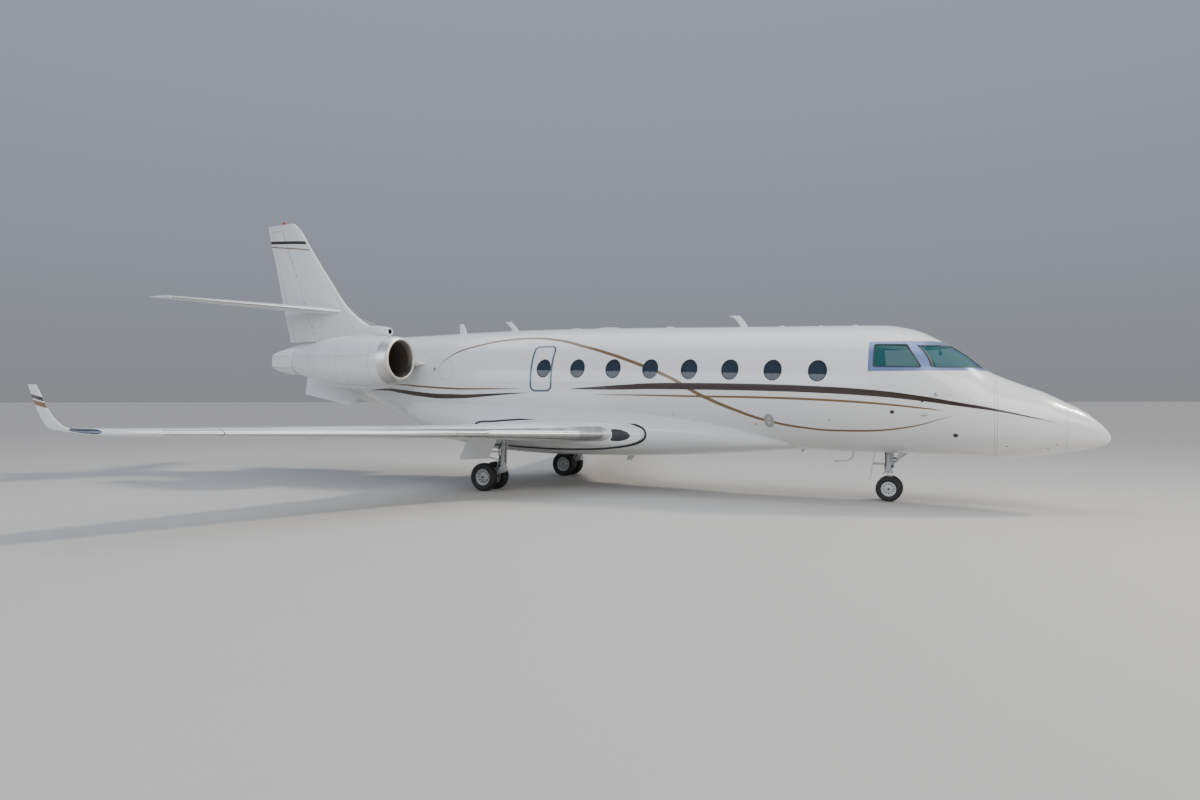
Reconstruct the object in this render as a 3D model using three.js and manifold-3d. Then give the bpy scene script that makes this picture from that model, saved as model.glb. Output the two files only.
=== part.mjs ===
// A twin-engined business jet parked on its gear, in millimetres.
// +X points forward, +Y to port and +Z up. The ground is z = 0.
// A station is a distance aft of the nose tip, and a height is measured from the ground.
import * as THREE from 'three';
import { mergeVertices } from 'three/addons/utils/BufferGeometryUtils.js';
import Module from 'manifold-3d';

const wasm = await Module();
wasm.setup();

// Overall sizes
const bodyLength = 18970;
const noseX = bodyLength / 2;
const gap = 0.3; // between pieces that rest on each other
const swing = 6; // between pieces that move past each other
const bodySlope = 0.024; // rise of the body's axis for each unit of length aft

// Body
const bodySides = 32;
const wall = 70;
const radomeEnd = 650;
const cockpitFront = 1900;
const cabinEnd = 11200;
const mainBodyEnd = 11300;
const tailEnd = 18640;
const aftWall = 45;
const aftHollowEnd = 15000;
const floorDepth = 820; // floor's top below the body's axis
const floorThickness = 40;
// station, crown, keel, half width, height of the widest point
const bodySections = [
  [0, 1230, 1180, 25, 1205],
  [20, 1270, 1142, 55, 1205],
  [67, 1340, 1090, 108, 1205],
  [168, 1450, 1055, 190, 1240],
  [420, 1660, 993, 345, 1300],
  [650, 1785, 952, 470, 1350],
  [950, 1945, 897, 625, 1410],
  [1300, 2085, 852, 745, 1470],
  [1811, 2331, 834, 880, 1560],
  [2124, 2595, 845, 945, 1640],
  [2521, 2851, 858, 1015, 1750],
  [2958, 3063, 860, 1075, 1870],
  [3424, 3155, 858, 1120, 1960],
  [4000, 3180, 862, 1150, 2012],
  [4900, 3205, 885, 1160, 2045],
  [11300, 3355, 1035, 1160, 2195],
  [12300, 3352, 1062, 1150, 2215],
  [13050, 3340, 1090, 1110, 2240],
  [13500, 3333, 1150, 1065, 2280],
  [14300, 3330, 1457, 950, 2400],
  [15150, 3325, 1814, 805, 2560],
  [15800, 3320, 2060, 690, 2660],
  [16400, 3312, 2175, 575, 2740],
  [17400, 3280, 2370, 390, 2830],
  [18130, 3200, 2560, 255, 2880],
  [18640, 3040, 2690, 150, 2865],
];

// Windows, doors and the overwing exit
const windowStations = [4447, 5226, 6005, 6784, 7563, 8342, 9121, 9895];
const firstPortWindow = 1;
const windowWidth = 320;
const windowHeight = 370;
const windowAboveAxis = 295;
const windowSides = 10;
const entryDoor = { from: 3740, to: 4560, low: -43, high: 40 };
const exitPanel = { from: 9712, to: 10188, low: -8, high: 40 };
const baggageDoor = { from: 12050, to: 12850, low: -18, high: 22, hingeHigh: true };
const hingeProud = 9;
const hingeSlack = 0.4;
// side pane, as station and height, from the lower aft corner round
const sidePane = [[3540, 2385], [2800, 2362], [3050, 2765], [3540, 2775]];
// windscreen pane, as distance from the centre line and height
const frontPane = [[60, 2345], [870, 2358], [665, 2745], [60, 2752]];
const frontPaneReach = [1500, 3300];
const glassDepth = [6, 34];

// Fairing under the wing: station, bottom, half width, height of that, upper edge
const fairingSections = [
  [4850, 912, 300, 985, 1000],
  [5200, 868, 640, 1070, 1090],
  [5980, 800, 915, 1150, 1290],
  [6700, 745, 1060, 1220, 1430],
  [7460, 708, 1145, 1250, 1530],
  [8660, 665, 1205, 1280, 1640],
  [9900, 655, 1220, 1300, 1695],
  [11260, 700, 1215, 1350, 1745],
  [12300, 835, 1150, 1430, 1775],
  [13000, 985, 1060, 1540, 1790],
  [13600, 1195, 880, 1700, 1795],
];

// Wing: distance out, height, leading edge, trailing edge, thickness, cant in degrees
const wingSections = [
  [1000, 1120, 7700, 11780, 500, 0],
  [1235, 1122, 7700, 11770, 500, 0],
  [1360, 1150, 8430, 11760, 400, 2],
  [3360, 1229, 9700, 11660, 235, 2],
  [8450, 1398, 11760, 12740, 105, 3],
  [8620, 1418, 12040, 12800, 85, 18],
  [8700, 1462, 12420, 12895, 55, 50],
  [8745, 1570, 12590, 12990, 38, 74],
  [8839, 2035, 13180, 13355, 22, 78],
];
const wingCamber = 0.012;
const edgeHalf = 2.5; // half the thickness of a trailing edge
const wingHinge = 0.75;
const flapSpan = [1420, 6050];
const aileronSpan = [6200, 8330];
const flapTrackPlaces = [2400, 3900, 5500];

// Fin and rudder: height, leading edge, trailing edge, thickness
const finSections = [
  [3150, 14900, 18130, 250],
  [3500, 15200, 18215, 250],
  [3785, 15740, 18296, 235],
  [4219, 16390, 18415, 215],
  [4751, 16800, 18543, 180],
  [5510, 17350, 18738, 145],
  [5900, 17560, 18850, 128],
  [6270, 17830, 18950, 112],
  [6425, 18020, 18968, 92],
];
const rudderFoot = { station: 17290, height: 3320 };
const rudderHead = { station: 18480, height: 6270 };
const beacon = { station: 18400, radius: 50, top: 6530 };
const ramInlet = { station: 14850, height: 3485, outer: 96, inner: 72, depth: 380 };

// Tailplane and elevators: distance out, height, leading edge, trailing edge, thickness
const tailplaneSections = [
  [40, 4090, 16350, 18120, 190],
  [3310, 4152, 18230, 18970, 80],
  [3380, 4153, 18400, 18955, 40],
];
const tailplaneTilt = 0.06; // the trailing edge stands this much of the chord higher
const tailplaneHinge = 0.7;
const elevatorSpan = [420, 3280];
const rudderRoom = { from: 17478, to: 17900, half: 200, low: 3900, high: 4300 };

// Engines, with stations counted aft from the intake lip
const engineOut = 1750;
const intake = { station: 13030, height: 2628 };
const lipLift = { rise: 66, reach: 700 }; // the intake's lip stands above the engine's axis
const nacelleOuter = [
  [0, 422], [16, 458], [70, 490], [180, 520], [420, 555], [900, 579], [1450, 571],
  [1850, 538], [2250, 458], [2670, 355], [2860, 318],
];
const nacelleInner = [
  [2860, 292], [2570, 335], [2100, 402], [1500, 430], [760, 420], [300, 378], [60, 392],
];
const nacelleSides = 24;
const reverserOuter = [[2860.3, 316], [3210, 296], [3560, 262]];
const reverserWall = 34;
// side view of the two target doors: station and half height
const reverserCut = [[2850, 340], [3090, 303], [3330, 262], [3470, 212], [3570, 138]];
const reverserBeam = { from: 2860.3, to: 3570, half: 138, inner: 236, outer: 322 };
const fan = { tip: 398, hub: 118, front: 690, face: 780, back: 920, blades: 12 };
const engineProfile = [
  [920.3, 0], [920.3, 90], [980, 250], [1120, 300], [2080, 300], [2380, 225], [2720, 90], [2800, 0],
];
const strutVanes = { count: 6, from: 1180, to: 1320, thickness: 26 };
const pylon = { from: 12950, to: 15650, thickness: 160, height: 2652 };

// Ventral fins: station and height along the root and the lower edge
const ventralRoot = [[15450, 1960], [17330, 2420]];
const ventralEdge = [[15560, 1690], [17010, 1960]];
const ventralOut = { root: 230, edge: 610, thickness: 34 };

// Landing gear
const noseWheel = { station: 3370, radius: 224, width: 126, out: 130, rim: 118 };
const noseLeg = { radius: 55, piston: 36, collar: 500, top: 1000, boss: 36, bore: 20.4, axle: 20 };
const wheelSides = 18; // the same for tyres and discs, so that their flats lie together
const noseDoor = { top: [3600, 900], foot: [3700, 360], half: 95, thickness: 14 };
const mainWheel = { station: 10820, radius: 280, width: 168, out: 1690, twin: 210, rim: 150 };
const mainLeg = { station: 10500, radius: 62, top: 1120, foot: 420, arm: 46, bore: 28.4, axle: 28 };
const mainDoor = {
  out: 2035, thickness: 16,
  outline: [[10390, 1110], [11080, 1110], [11330, 615], [10620, 665]],
};

const finishes = {
  whitePaint: { color: 0xf0f1f2, roughness: 0.25, metalness: 0 },
  polished: { color: 0xc8cacc, roughness: 0.2, metalness: 1 },
  bareMetal: { color: 0x9b9da0, roughness: 0.4, metalness: 0.9 },
  darkMetal: { color: 0x3a3b3d, roughness: 0.5, metalness: 0.7 },
  rubber: { color: 0x1a1a1b, roughness: 0.85, metalness: 0 },
  glass: { color: 0x2c4a4c, roughness: 0.05, metalness: 0, transparent: true, opacity: 0.45 },
  leather: { color: 0xc9b89a, roughness: 0.6, metalness: 0 },
  carpet: { color: 0x6d655a, roughness: 0.95, metalness: 0 },
  panelBlack: { color: 0x202224, roughness: 0.6, metalness: 0 },
};

const jet = new THREE.Group();
const hinges = {};

const stationX = (station) => noseX - station;
const radians = THREE.MathUtils.degToRad;
const sides = [['right', -1], ['left', 1]];

// Solids

function solidFrom(positions, triangles) {
  let volume = 0;
  const corner = (i) => new THREE.Vector3().fromArray(positions, 3 * i);
  for (let i = 0; i < triangles.length; i += 3) {
    const [a, b, c] = [0, 1, 2].map((k) => corner(triangles[i + k]));
    volume += a.dot(b.cross(c));
  }
  const triVerts = Uint32Array.from(triangles);
  if (volume < 0) {
    for (let i = 0; i < triVerts.length; i += 3) {
      [triVerts[i], triVerts[i + 1]] = [triVerts[i + 1], triVerts[i]];
    }
  }
  const vertProperties = Float32Array.from(positions);
  return new wasm.Manifold(new wasm.Mesh({ numProp: 3, vertProperties, triVerts }));
}

function solidOf(geometry, matrix = new THREE.Matrix4()) {
  const bare = geometry.clone().applyMatrix4(matrix);
  bare.deleteAttribute('normal');
  bare.deleteAttribute('uv');
  const merged = mergeVertices(bare, 1e-3);
  return solidFrom(merged.attributes.position.array, merged.index.array);
}

// Rings of equal length joined by walls, with a flat cap at each end
function loft(rings) {
  const count = rings[0].length;
  const positions = rings.flat(2);
  const triangles = [];
  for (let i = 0; i + 1 < rings.length; i++) {
    for (let j = 0; j < count; j++) {
      const a = i * count + j;
      const b = i * count + (j + 1) % count;
      triangles.push(a, b, a + count, b, b + count, a + count);
    }
  }
  const ends = [[0, 1], [rings.length - 1, 0]];
  for (const [ring, first] of ends) {
    const centre = positions.length / 3;
    for (let axis = 0; axis < 3; axis++) {
      positions.push(rings[ring].reduce((sum, point) => sum + point[axis], 0) / count);
    }
    for (let j = 0; j < count; j++) {
      const pair = [ring * count + j, ring * count + (j + 1) % count];
      triangles.push(centre, pair[first], pair[1 - first]);
    }
  }
  return solidFrom(positions, triangles);
}

// A profile of [distance aft, radius] turned about the X axis
function revolveAboutX(profile, sideCount) {
  const points = profile.map(([aft, radius]) => new THREE.Vector2(radius, aft));
  const turned = new THREE.LatheGeometry(points, sideCount).rotateZ(Math.PI / 2);
  return solidOf(turned);
}

// A closed or axis-to-axis profile of [distance along Y, radius] turned about the Y axis
function revolveAboutY(profile, sideCount, centre) {
  const points = profile.map(([along, radius]) => new THREE.Vector2(radius, along));
  const turned = new THREE.LatheGeometry(points, sideCount);
  return solidOf(turned, new THREE.Matrix4().makeTranslation(...centre));
}

function cylinderBetween(start, end, radius, sideCount = 12) {
  const from = new THREE.Vector3(...start);
  const along = new THREE.Vector3(...end).sub(from);
  const turn = new THREE.Quaternion();
  turn.setFromUnitVectors(new THREE.Vector3(0, 1, 0), along.clone().normalize());
  const middle = from.clone().addScaledVector(along, 0.5);
  const matrix = new THREE.Matrix4().compose(middle, turn, new THREE.Vector3(1, 1, 1));
  return solidOf(new THREE.CylinderGeometry(radius, radius, along.length(), sideCount), matrix);
}

function boxBetween(low, high) {
  const size = high.map((value, axis) => value - low[axis]);
  const middle = high.map((value, axis) => (value + low[axis]) / 2);
  const matrix = new THREE.Matrix4().makeTranslation(...middle);
  return solidOf(new THREE.BoxGeometry(...size), matrix);
}

// A box from ranges along three unit directions through a point
function boxAlong(origin, directions, ranges) {
  const size = ranges.map(([low, high]) => high - low);
  const basis = new THREE.Matrix4().makeBasis(...directions);
  const middle = origin.clone();
  ranges.forEach(([low, high], axis) => {
    middle.addScaledVector(directions[axis], (low + high) / 2);
  });
  basis.setPosition(middle);
  return solidOf(new THREE.BoxGeometry(...size), basis);
}

// An outline of [station, height] carried straight across from one side position to another
function plateAcross(outline, fromY, toY) {
  const ring = (y) => outline.map(([station, height]) => [stationX(station), y, height]);
  return loft([ring(fromY), ring(toY)]);
}

// An outline of [side position, height] carried along the body
function prismAlong(outline, fromStation, toStation) {
  const ring = (station) => outline.map(([y, height]) => [stationX(station), y, height]);
  return loft([ring(fromStation), ring(toStation)]);
}

function add(name, solid, finish) {
  const mesh = solid.getMesh();
  const geometry = new THREE.BufferGeometry();
  geometry.setAttribute('position', new THREE.BufferAttribute(mesh.vertProperties, 3));
  geometry.setIndex(new THREE.BufferAttribute(mesh.triVerts, 1));
  geometry.computeVertexNormals();
  const piece = new THREE.Mesh(geometry, new THREE.MeshStandardMaterial(finishes[finish]));
  piece.name = name;
  jet.add(piece);
}

function blendRows(rows, column, value) {
  const last = rows.length - 1;
  let i = 0;
  while (i < last - 1 && rows[i + 1][column] < value) i++;
  const [a, b] = [rows[i], rows[i + 1]];
  const share = (value - a[column]) / (b[column] - a[column]);
  return a.map((number, k) => number + share * (b[k] - number));
}

// Body

function bodyAxisAt(station) {
  return blendRows(bodySections, 0, station)[4];
}

function bodyRing(station, grow) {
  const [, crown, keel, half, middle] = blendRows(bodySections, 0, station);
  const ring = [];
  for (let j = 0; j < bodySides; j++) {
    const angle = (2 * Math.PI * j) / bodySides;
    const rise = Math.sin(angle);
    const reach = (rise > 0 ? crown - middle : middle - keel) + grow;
    ring.push([stationX(station), (half + grow) * Math.cos(angle), middle + reach * rise]);
  }
  return ring;
}

function bodySolid(from, to, grow = 0) {
  const between = bodySections.map((row) => row[0]).filter((s) => s > from + 1 && s < to - 1);
  return loft([from, ...between, to].map((station) => bodyRing(station, grow)));
}

// A sector between two angles about the body's axis, as deep as the whole body
function bodySector(door, side, slack) {
  const reach = 1900;
  const axis = bodyAxisAt((door.from + door.to) / 2);
  const at = (degrees) => [
    side * reach * Math.cos(radians(degrees)),
    axis + reach * Math.sin(radians(degrees)),
  ];
  const widen = THREE.MathUtils.radToDeg(slack.edge / 1160);
  const sill = THREE.MathUtils.radToDeg(slack.hinge / 1160);
  const low = door.low - (door.hingeHigh ? widen : sill);
  const high = door.high + (door.hingeHigh ? sill : widen);
  const outline = [[side * 200, axis], at(low), at((low + high) / 2), at(high)];
  return prismAlong(outline, door.from - slack.edge, door.to + slack.edge);
}

function ovalWindow(station, side) {
  const centre = bodyAxisAt(station) + windowAboveAxis;
  const outline = [];
  for (let j = 0; j < windowSides; j++) {
    const angle = (2 * Math.PI * j) / windowSides;
    outline.push([
      station + (windowWidth / 2) * Math.cos(angle),
      centre + (windowHeight / 2) * Math.sin(angle),
    ]);
  }
  return plateAcross(outline, side * 700, side * 1400);
}

function mirrored(outline) {
  return outline.map(([y, height]) => [-y, height]);
}

function addBody() {
  const outer = bodySolid(radomeEnd + gap, mainBodyEnd);
  const hollow = bodySolid(cockpitFront, cabinEnd, -wall);
  const shell = outer.subtract(hollow);
  const noSlack = { edge: 0, hinge: 0 };
  let fuselage = shell;
  let exit = shell.intersect(bodySector(exitPanel, -1, noSlack));
  for (const [, side] of sides) {
    windowStations.forEach((station, i) => {
      if (side > 0 && i < firstPortWindow) return;
      const hole = ovalWindow(station, side);
      fuselage = fuselage.subtract(hole);
      exit = exit.subtract(hole);
    });
  }
  fuselage = fuselage.subtract(bodySector(exitPanel, -1, { edge: gap, hinge: gap }));
  fuselage = fuselage.subtract(bodySector(entryDoor, 1, { edge: swing, hinge: hingeSlack }));
  const entry = shell.intersect(bodySector(entryDoor, 1, noSlack));
  const glassShell = bodySolid(radomeEnd, mainBodyEnd, -glassDepth[0])
    .subtract(bodySolid(radomeEnd - 100, mainBodyEnd + 100, -glassDepth[1]));
  for (const [sideName, side] of sides) {
    const across = side < 0 ? mirrored(frontPane) : frontPane;
    const frontHole = prismAlong(across, ...frontPaneReach);
    const sideHole = plateAcross(sidePane, side * 600, side * 1300);
    fuselage = fuselage.subtract(frontHole).subtract(sideHole);
    const frontGlass = glassShell.intersect(shrunkAcross(across));
    const sideGlass = glassShell.intersect(shrunkPlate(sidePane, side));
    add(`windscreen_${sideName}`, frontGlass, 'glass');
    add(`side_window_${sideName}`, sideGlass, 'glass');
  }
  add('fuselage', fuselage, 'whitePaint');
  add('overwing_exit', exit, 'whitePaint');
  add('entry_door', withSteps(entry), 'whitePaint');
  add('radome', bodySolid(0, radomeEnd), 'whitePaint');

  hinges.entry_door = doorHinge(entryDoor, entryDoor.low);
}

// A door's hinge line runs just outside the skin between the door's two corners
function doorHinge(door, degrees) {
  const axis = bodyAxisAt((door.from + door.to) / 2);
  const direction = [Math.cos(radians(degrees)), Math.sin(radians(degrees))];
  const [start, end] = [door.to, door.from].map((station) => {
    const [, crown, keel, half, middle] = blendRows(bodySections, 0, station);
    const tall = degrees > 0 ? crown - middle : middle - keel;
    const drop = axis - middle;
    const a = (direction[0] / half) ** 2 + (direction[1] / tall) ** 2;
    const b = (2 * drop * direction[1]) / tall ** 2;
    const c = (drop / tall) ** 2 - 1;
    const reach = (-b + Math.sqrt(b * b - 4 * a * c)) / (2 * a) + hingeProud;
    return [stationX(station), reach * direction[0], axis + reach * direction[1]];
  });
  return { start, end };
}

function towardsMiddle(outline, amount) {
  const middle = [0, 1].map((k) => outline.reduce((sum, p) => sum + p[k], 0) / outline.length);
  return outline.map((point) => point.map((value, k) => {
    return value - amount * Math.sign(value - middle[k]);
  }));
}

function shrunkAcross(outline) {
  return prismAlong(towardsMiddle(outline, gap), ...frontPaneReach);
}

function shrunkPlate(outline, side) {
  return plateAcross(towardsMiddle(outline, gap), side * 600, side * 1300);
}

// Five treads stand on the inner face of the entry door
function withSteps(door) {
  let result = door;
  const treads = 5;
  const middle = (entryDoor.from + entryDoor.to) / 2;
  for (let i = 0; i < treads; i++) {
    const height = bodyAxisAt(middle) - 640 + 250 * i;
    const low = [stationX(entryDoor.to - 110), 780, height];
    const high = [stationX(entryDoor.from + 110), 1120, height + 28];
    const tread = boxBetween(low, high).intersect(bodySolid(3000, 6000, -wall / 2));
    result = result.add(tread);
  }
  return result;
}

function addAftBody() {
  const start = mainBodyEnd + gap;
  const outer = bodySolid(start, tailEnd);
  const hollow = bodySolid(mainBodyEnd - 50, aftHollowEnd, -aftWall);
  const shell = outer.subtract(hollow);
  const hole = bodySector(baggageDoor, 1, { edge: swing, hinge: hingeSlack });
  const door = bodySector(baggageDoor, 1, { edge: 0, hinge: 0 });
  add('aft_fuselage', shell.subtract(hole), 'whitePaint');
  add('baggage_door', shell.intersect(door), 'whitePaint');
  hinges.baggage_door = doorHinge(baggageDoor, baggageDoor.high);
}

function fairingRing([station, bottom, half, widest, edge]) {
  const lowerPoints = 16;
  const power = 0.8;
  const ring = [];
  for (let j = 0; j <= lowerPoints; j++) {
    const angle = Math.PI + (Math.PI * j) / lowerPoints;
    const across = Math.sign(Math.cos(angle)) * Math.abs(Math.cos(angle)) ** power;
    const down = Math.abs(Math.sin(angle)) ** power;
    ring.push([stationX(station), half * across, widest - (widest - bottom) * down]);
  }
  const [, , keel, bodyHalf, middle] = blendRows(bodySections, 0, station);
  const drop = Math.min(0.999, (middle - edge) / (middle - keel));
  const meet = bodyHalf * Math.sqrt(1 - drop * drop);
  const inside = Math.max(meet - 30, 20);
  ring.push([stationX(station), inside, edge + 12]);
  ring.push([stationX(station), inside / 2, edge + 14]);
  ring.push([stationX(station), -inside / 2, edge + 14]);
  ring.push([stationX(station), -inside, edge + 12]);
  return ring;
}

function addBellyFairing() {
  let fairing = loft(fairingSections.map(fairingRing));
  fairing = fairing.subtract(bodySolid(1000, tailEnd, gap));
  for (const [, side] of sides) fairing = fairing.subtract(wingGrown(side));
  add('belly_fairing', fairing, 'whitePaint');
}

// Cabin

function floorTop(station) {
  return 2045 + bodySlope * (station - 4900) - floorDepth;
}

function addCabin() {
  const from = cockpitFront + 60;
  const to = cabinEnd - 20;
  const ring = (station) => {
    const top = floorTop(station);
    return [[-1150, -floorThickness], [1150, -floorThickness], [1150, 0], [-1150, 0]]
      .map(([y, z]) => [stationX(station), y, top + z]);
  };
  const inside = bodySolid(cockpitFront - 10, cabinEnd + 10, -wall - gap);
  add('cabin_floor', loft([ring(from), ring(to)]).intersect(inside), 'carpet');
  for (const [sideName, side] of sides) {
    add(`cabin_seats_${sideName}`, seatRow(side), 'leather');
  }
  add('cockpit_seats', pilotSeats(), 'leather');
  add('instrument_panel', instrumentPanel().intersect(inside), 'panelBlack');
}

// One seat; facing is 1 where it looks forward
function seat(station, y, facing) {
  const base = floorTop(station);
  const x = stationX(station);
  const half = 270;
  const pieces = [
    [[x - 200, y - 100, base + 10], [x + 200, y + 100, base + 300]],
    [[x - 270, y - half, base + 260], [x + 270, y + half, base + 470]],
    [[x - facing * 270 - 70, y - half, base + 300], [x - facing * 270 + 70, y + half, base + 1080]],
  ].map(([low, high]) => boxBetween(low, high));
  return pieces.reduce((whole, piece) => whole.add(piece));
}

function railUnder(from, to, y, width) {
  const ring = (station) => {
    const low = floorTop(station) + gap;
    return [[y - width, low], [y + width, low], [y + width, low + 40], [y - width, low + 40]]
      .map(([across, z]) => [stationX(station), across, z]);
  };
  return loft([ring(from), ring(to)]);
}

function seatRow(side) {
  const places = [[5450, -1], [6700, 1], [7700, -1], [8950, 1], [10300, 1]];
  const y = side * 600;
  let row = railUnder(5150, 10600, y, 80);
  for (const [station, facing] of places) row = row.add(seat(station, y, facing));
  return row;
}

function pilotSeats() {
  let pair = boxBetween(
    [stationX(3300), -560, floorTop(3300) + 1],
    [stationX(3000), 560, floorTop(3300) + 40],
  );
  for (const [, side] of sides) pair = pair.add(seat(3150, side * 420, 1));
  return pair;
}

function instrumentPanel() {
  const pedestalTop = floorTop(2600) + 640;
  const outline = [[2050, 2235], [2560, 2235], [2560, 2180], [2420, 1760], [2050, 1760]];
  const panel = plateAcross(outline, -820, 820);
  const low = [stationX(2850), -170, floorTop(2850) + gap];
  const high = [stationX(2200), 170, pedestalTop];
  return panel.add(boxBetween(low, high));
}

// Lifting surfaces

// Half thickness of a section at a share of its chord, for a thickness of one
function profileHalf(share) {
  const root = 0.2969 * Math.sqrt(share);
  return 5 * (root - share * (0.126 + share * (0.3516 - share * (0.2843 - 0.1036 * share))));
}

// Half thickness with a blunt trailing edge and a sharp leading edge, made larger by an amount
function sectionHalf(share, thick, grow = 0) {
  return share === 0 ? 0 : Math.max(profileHalf(share) * thick, edgeHalf) + grow;
}

const chordPoints = 6;

// Section points as [share of chord, height above the chord for each unit of thickness]
function profileOutline(end) {
  const shares = [];
  for (let i = 0; i <= chordPoints; i++) {
    shares.push((end * (1 - Math.cos((Math.PI * i) / chordPoints))) / 2);
  }
  const upper = shares.map((share) => [share, 1]).reverse();
  const lower = shares.slice(1).map((share) => [share, -1]);
  return [...upper, ...lower];
}

function wingRow(y) {
  return blendRows(wingSections, 0, y);
}

function wingPoint(row, side, share, sign, grow) {
  const [y, z, lead, trail, thick, cant] = row;
  const chord = trail - lead;
  const bulge = sign * sectionHalf(share, thick, grow);
  const camber = wingCamber * chord * 4 * share * (1 - share) * Math.cos(radians(cant));
  const lift = bulge + camber;
  const forward = share === 0 ? grow : 0;
  const tilt = radians(cant);
  return [
    stationX(lead + share * chord - forward),
    side * (y - lift * Math.sin(tilt)),
    z + lift * Math.cos(tilt),
  ];
}

function noseRadius(row) {
  return profileHalf(wingHinge) * row[4] - 1;
}

// Rows along the span with a step wherever a control surface begins or ends
function wingRows(withCutouts) {
  const rows = wingSections.map((row) => [row, 1]);
  if (!withCutouts) return rows;
  const spans = [flapSpan, aileronSpan];
  const stepped = rows.filter(([row]) => !spans.some(([a, b]) => row[0] > a && row[0] < b));
  for (const [start, stop] of spans) {
    const inner = wingSections.filter((row) => row[0] > start && row[0] < stop);
    const cut = (row) => wingHinge - (noseRadius(row) + swing) / (row[3] - row[2]);
    stepped.push([wingRow(start - 0.5), 1], [wingRow(stop + 0.5), 1]);
    for (const row of [wingRow(start), ...inner, wingRow(stop)]) stepped.push([row, cut(row)]);
  }
  return stepped.sort((a, b) => a[0][0] - b[0][0]);
}

function wingSolid(side, grow, withCutouts) {
  const rings = wingRows(withCutouts).map(([row, end]) => {
    return profileOutline(end).map(([share, sign]) => {
      const point = wingPoint(row, side, share, sign, grow);
      if (share === end) point[0] -= grow;
      return point;
    });
  });
  for (const point of rings[0]) point[1] -= side * grow;
  return loft(rings);
}

// The wing a little larger all round, with and without the notches for its moving surfaces
function wingGrown(side) {
  return wingSolid(side, gap, false).add(wingSolid(side, gap, true));
}

// A control surface with a round nose about its hinge: rows of hinge, trailing point and radius
function controlSurface(rows, normal, grow = 0) {
  const arcPoints = 7;
  return loft(rows.map(({ hinge, trailing, radius }) => {
    const aft = trailing.clone().sub(hinge).normalize();
    const ring = [];
    for (let j = 0; j < arcPoints; j++) {
      const angle = (Math.PI * j) / (arcPoints - 1);
      const point = hinge.clone();
      point.addScaledVector(normal, (radius + grow) * Math.cos(angle));
      point.addScaledVector(aft, -(radius + grow) * Math.sin(angle));
      ring.push(point.toArray());
    }
    const end = trailing.clone().addScaledVector(aft, grow);
    for (const sign of [-1, 1]) {
      ring.push(end.clone().addScaledVector(normal, sign * (edgeHalf + grow)).toArray());
    }
    return ring;
  }));
}

function wingSurfaceRow(y, side) {
  const row = wingRow(y);
  const along = (share) => {
    const upper = wingPoint(row, side, share, 1, 0);
    const lower = wingPoint(row, side, share, -1, 0);
    return new THREE.Vector3(...upper).add(new THREE.Vector3(...lower)).multiplyScalar(0.5);
  };
  return { hinge: along(wingHinge), trailing: along(1), radius: noseRadius(row) };
}

// Plates on the fixed part reach to the hinge, in slots of the moving part, which rests on them
function hingePlates(fixed, moving, start, end, shares, aft) {
  const axis = end.clone().sub(start).normalize();
  const across = new THREE.Vector3().crossVectors(axis, aft).normalize();
  const back = new THREE.Vector3().crossVectors(across, axis).normalize();
  const plate = 12;
  for (const share of shares) {
    const origin = start.clone().lerp(end, share);
    const directions = [back, across, axis];
    fixed = fixed.add(boxAlong(origin, directions, [[-130, 10], [-9, 9], [-plate, 0]]));
    const slot = [[-200, 22], [-200, 200], [-plate - swing, gap]];
    moving = moving.subtract(boxAlong(origin, directions, slot));
  }
  return [fixed, moving];
}

function addWings() {
  const up = new THREE.Vector3(0, 0, 1);
  const aft = new THREE.Vector3(-1, 0, 0);
  for (const [sideName, side] of sides) {
    let wing = wingSolid(side, 0, true);
    const [startY, endY] = [aileronSpan[0] + swing, aileronSpan[1] - swing];
    const ends = [startY, endY].map((y) => wingSurfaceRow(y, side));
    let aileron = controlSurface(ends, up);
    const [start, end] = ends.map((row) => row.hinge);
    [wing, aileron] = hingePlates(wing, aileron, start, end, [0.2, 0.8], aft);
    const flapStops = [flapSpan[0] + swing, wingSections[3][0], flapSpan[1] - swing];
    const flapRows = flapStops.map((y) => wingSurfaceRow(y, side));
    for (const track of flapTracks(side)) wing = wing.add(track);
    wing = wing.subtract(controlSurface(flapRows, up, gap));
    add(`wing_${sideName}`, wing, 'whitePaint');
    add(`flap_${sideName}`, controlSurface(flapRows, up), 'whitePaint');
    add(`aileron_${sideName}`, aileron, 'whitePaint');
    hinges[`aileron_${sideName}`] = { start, end };
  }
}

// Canoe fairings under the wing carry the flaps
function flapTracks(side) {
  return flapTrackPlaces.map((y) => {
    const [, height, lead, trail, thick] = wingRow(y);
    const from = lead + 0.5 * (trail - lead);
    const to = trail + 120;
    const middle = height - 0.16 * thick - 20;
    return loft([0, 0.12, 0.35, 0.65, 0.88, 1].map((share) => {
      const size = Math.sin(Math.PI * Math.min(0.97, Math.max(0.03, share))) ** 0.6;
      const ring = [];
      for (let j = 0; j < 8; j++) {
        const angle = (2 * Math.PI * j) / 8;
        ring.push([
          stationX(from + share * (to - from)),
          side * y + 48 * size * Math.cos(angle),
          middle + 78 * size * Math.sin(angle),
        ]);
      }
      return ring;
    }));
  });
}

function finRing(height, end, grow) {
  const [, lead, trail, thick] = blendRows(finSections, 0, height);
  const outline = profileOutline(end(lead, trail));
  const last = outline[0][0];
  return outline.map(([share, sign]) => {
    const half = sectionHalf(share, thick, grow);
    const aft = share === last ? grow : 0;
    const forward = share === 0 ? grow : 0;
    return [stationX(lead + share * (trail - lead) + aft - forward), sign * half, height];
  });
}

function rudderStation(height) {
  const share = (height - rudderFoot.height) / (rudderHead.height - rudderFoot.height);
  return rudderFoot.station + share * (rudderHead.station - rudderFoot.station);
}

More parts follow.
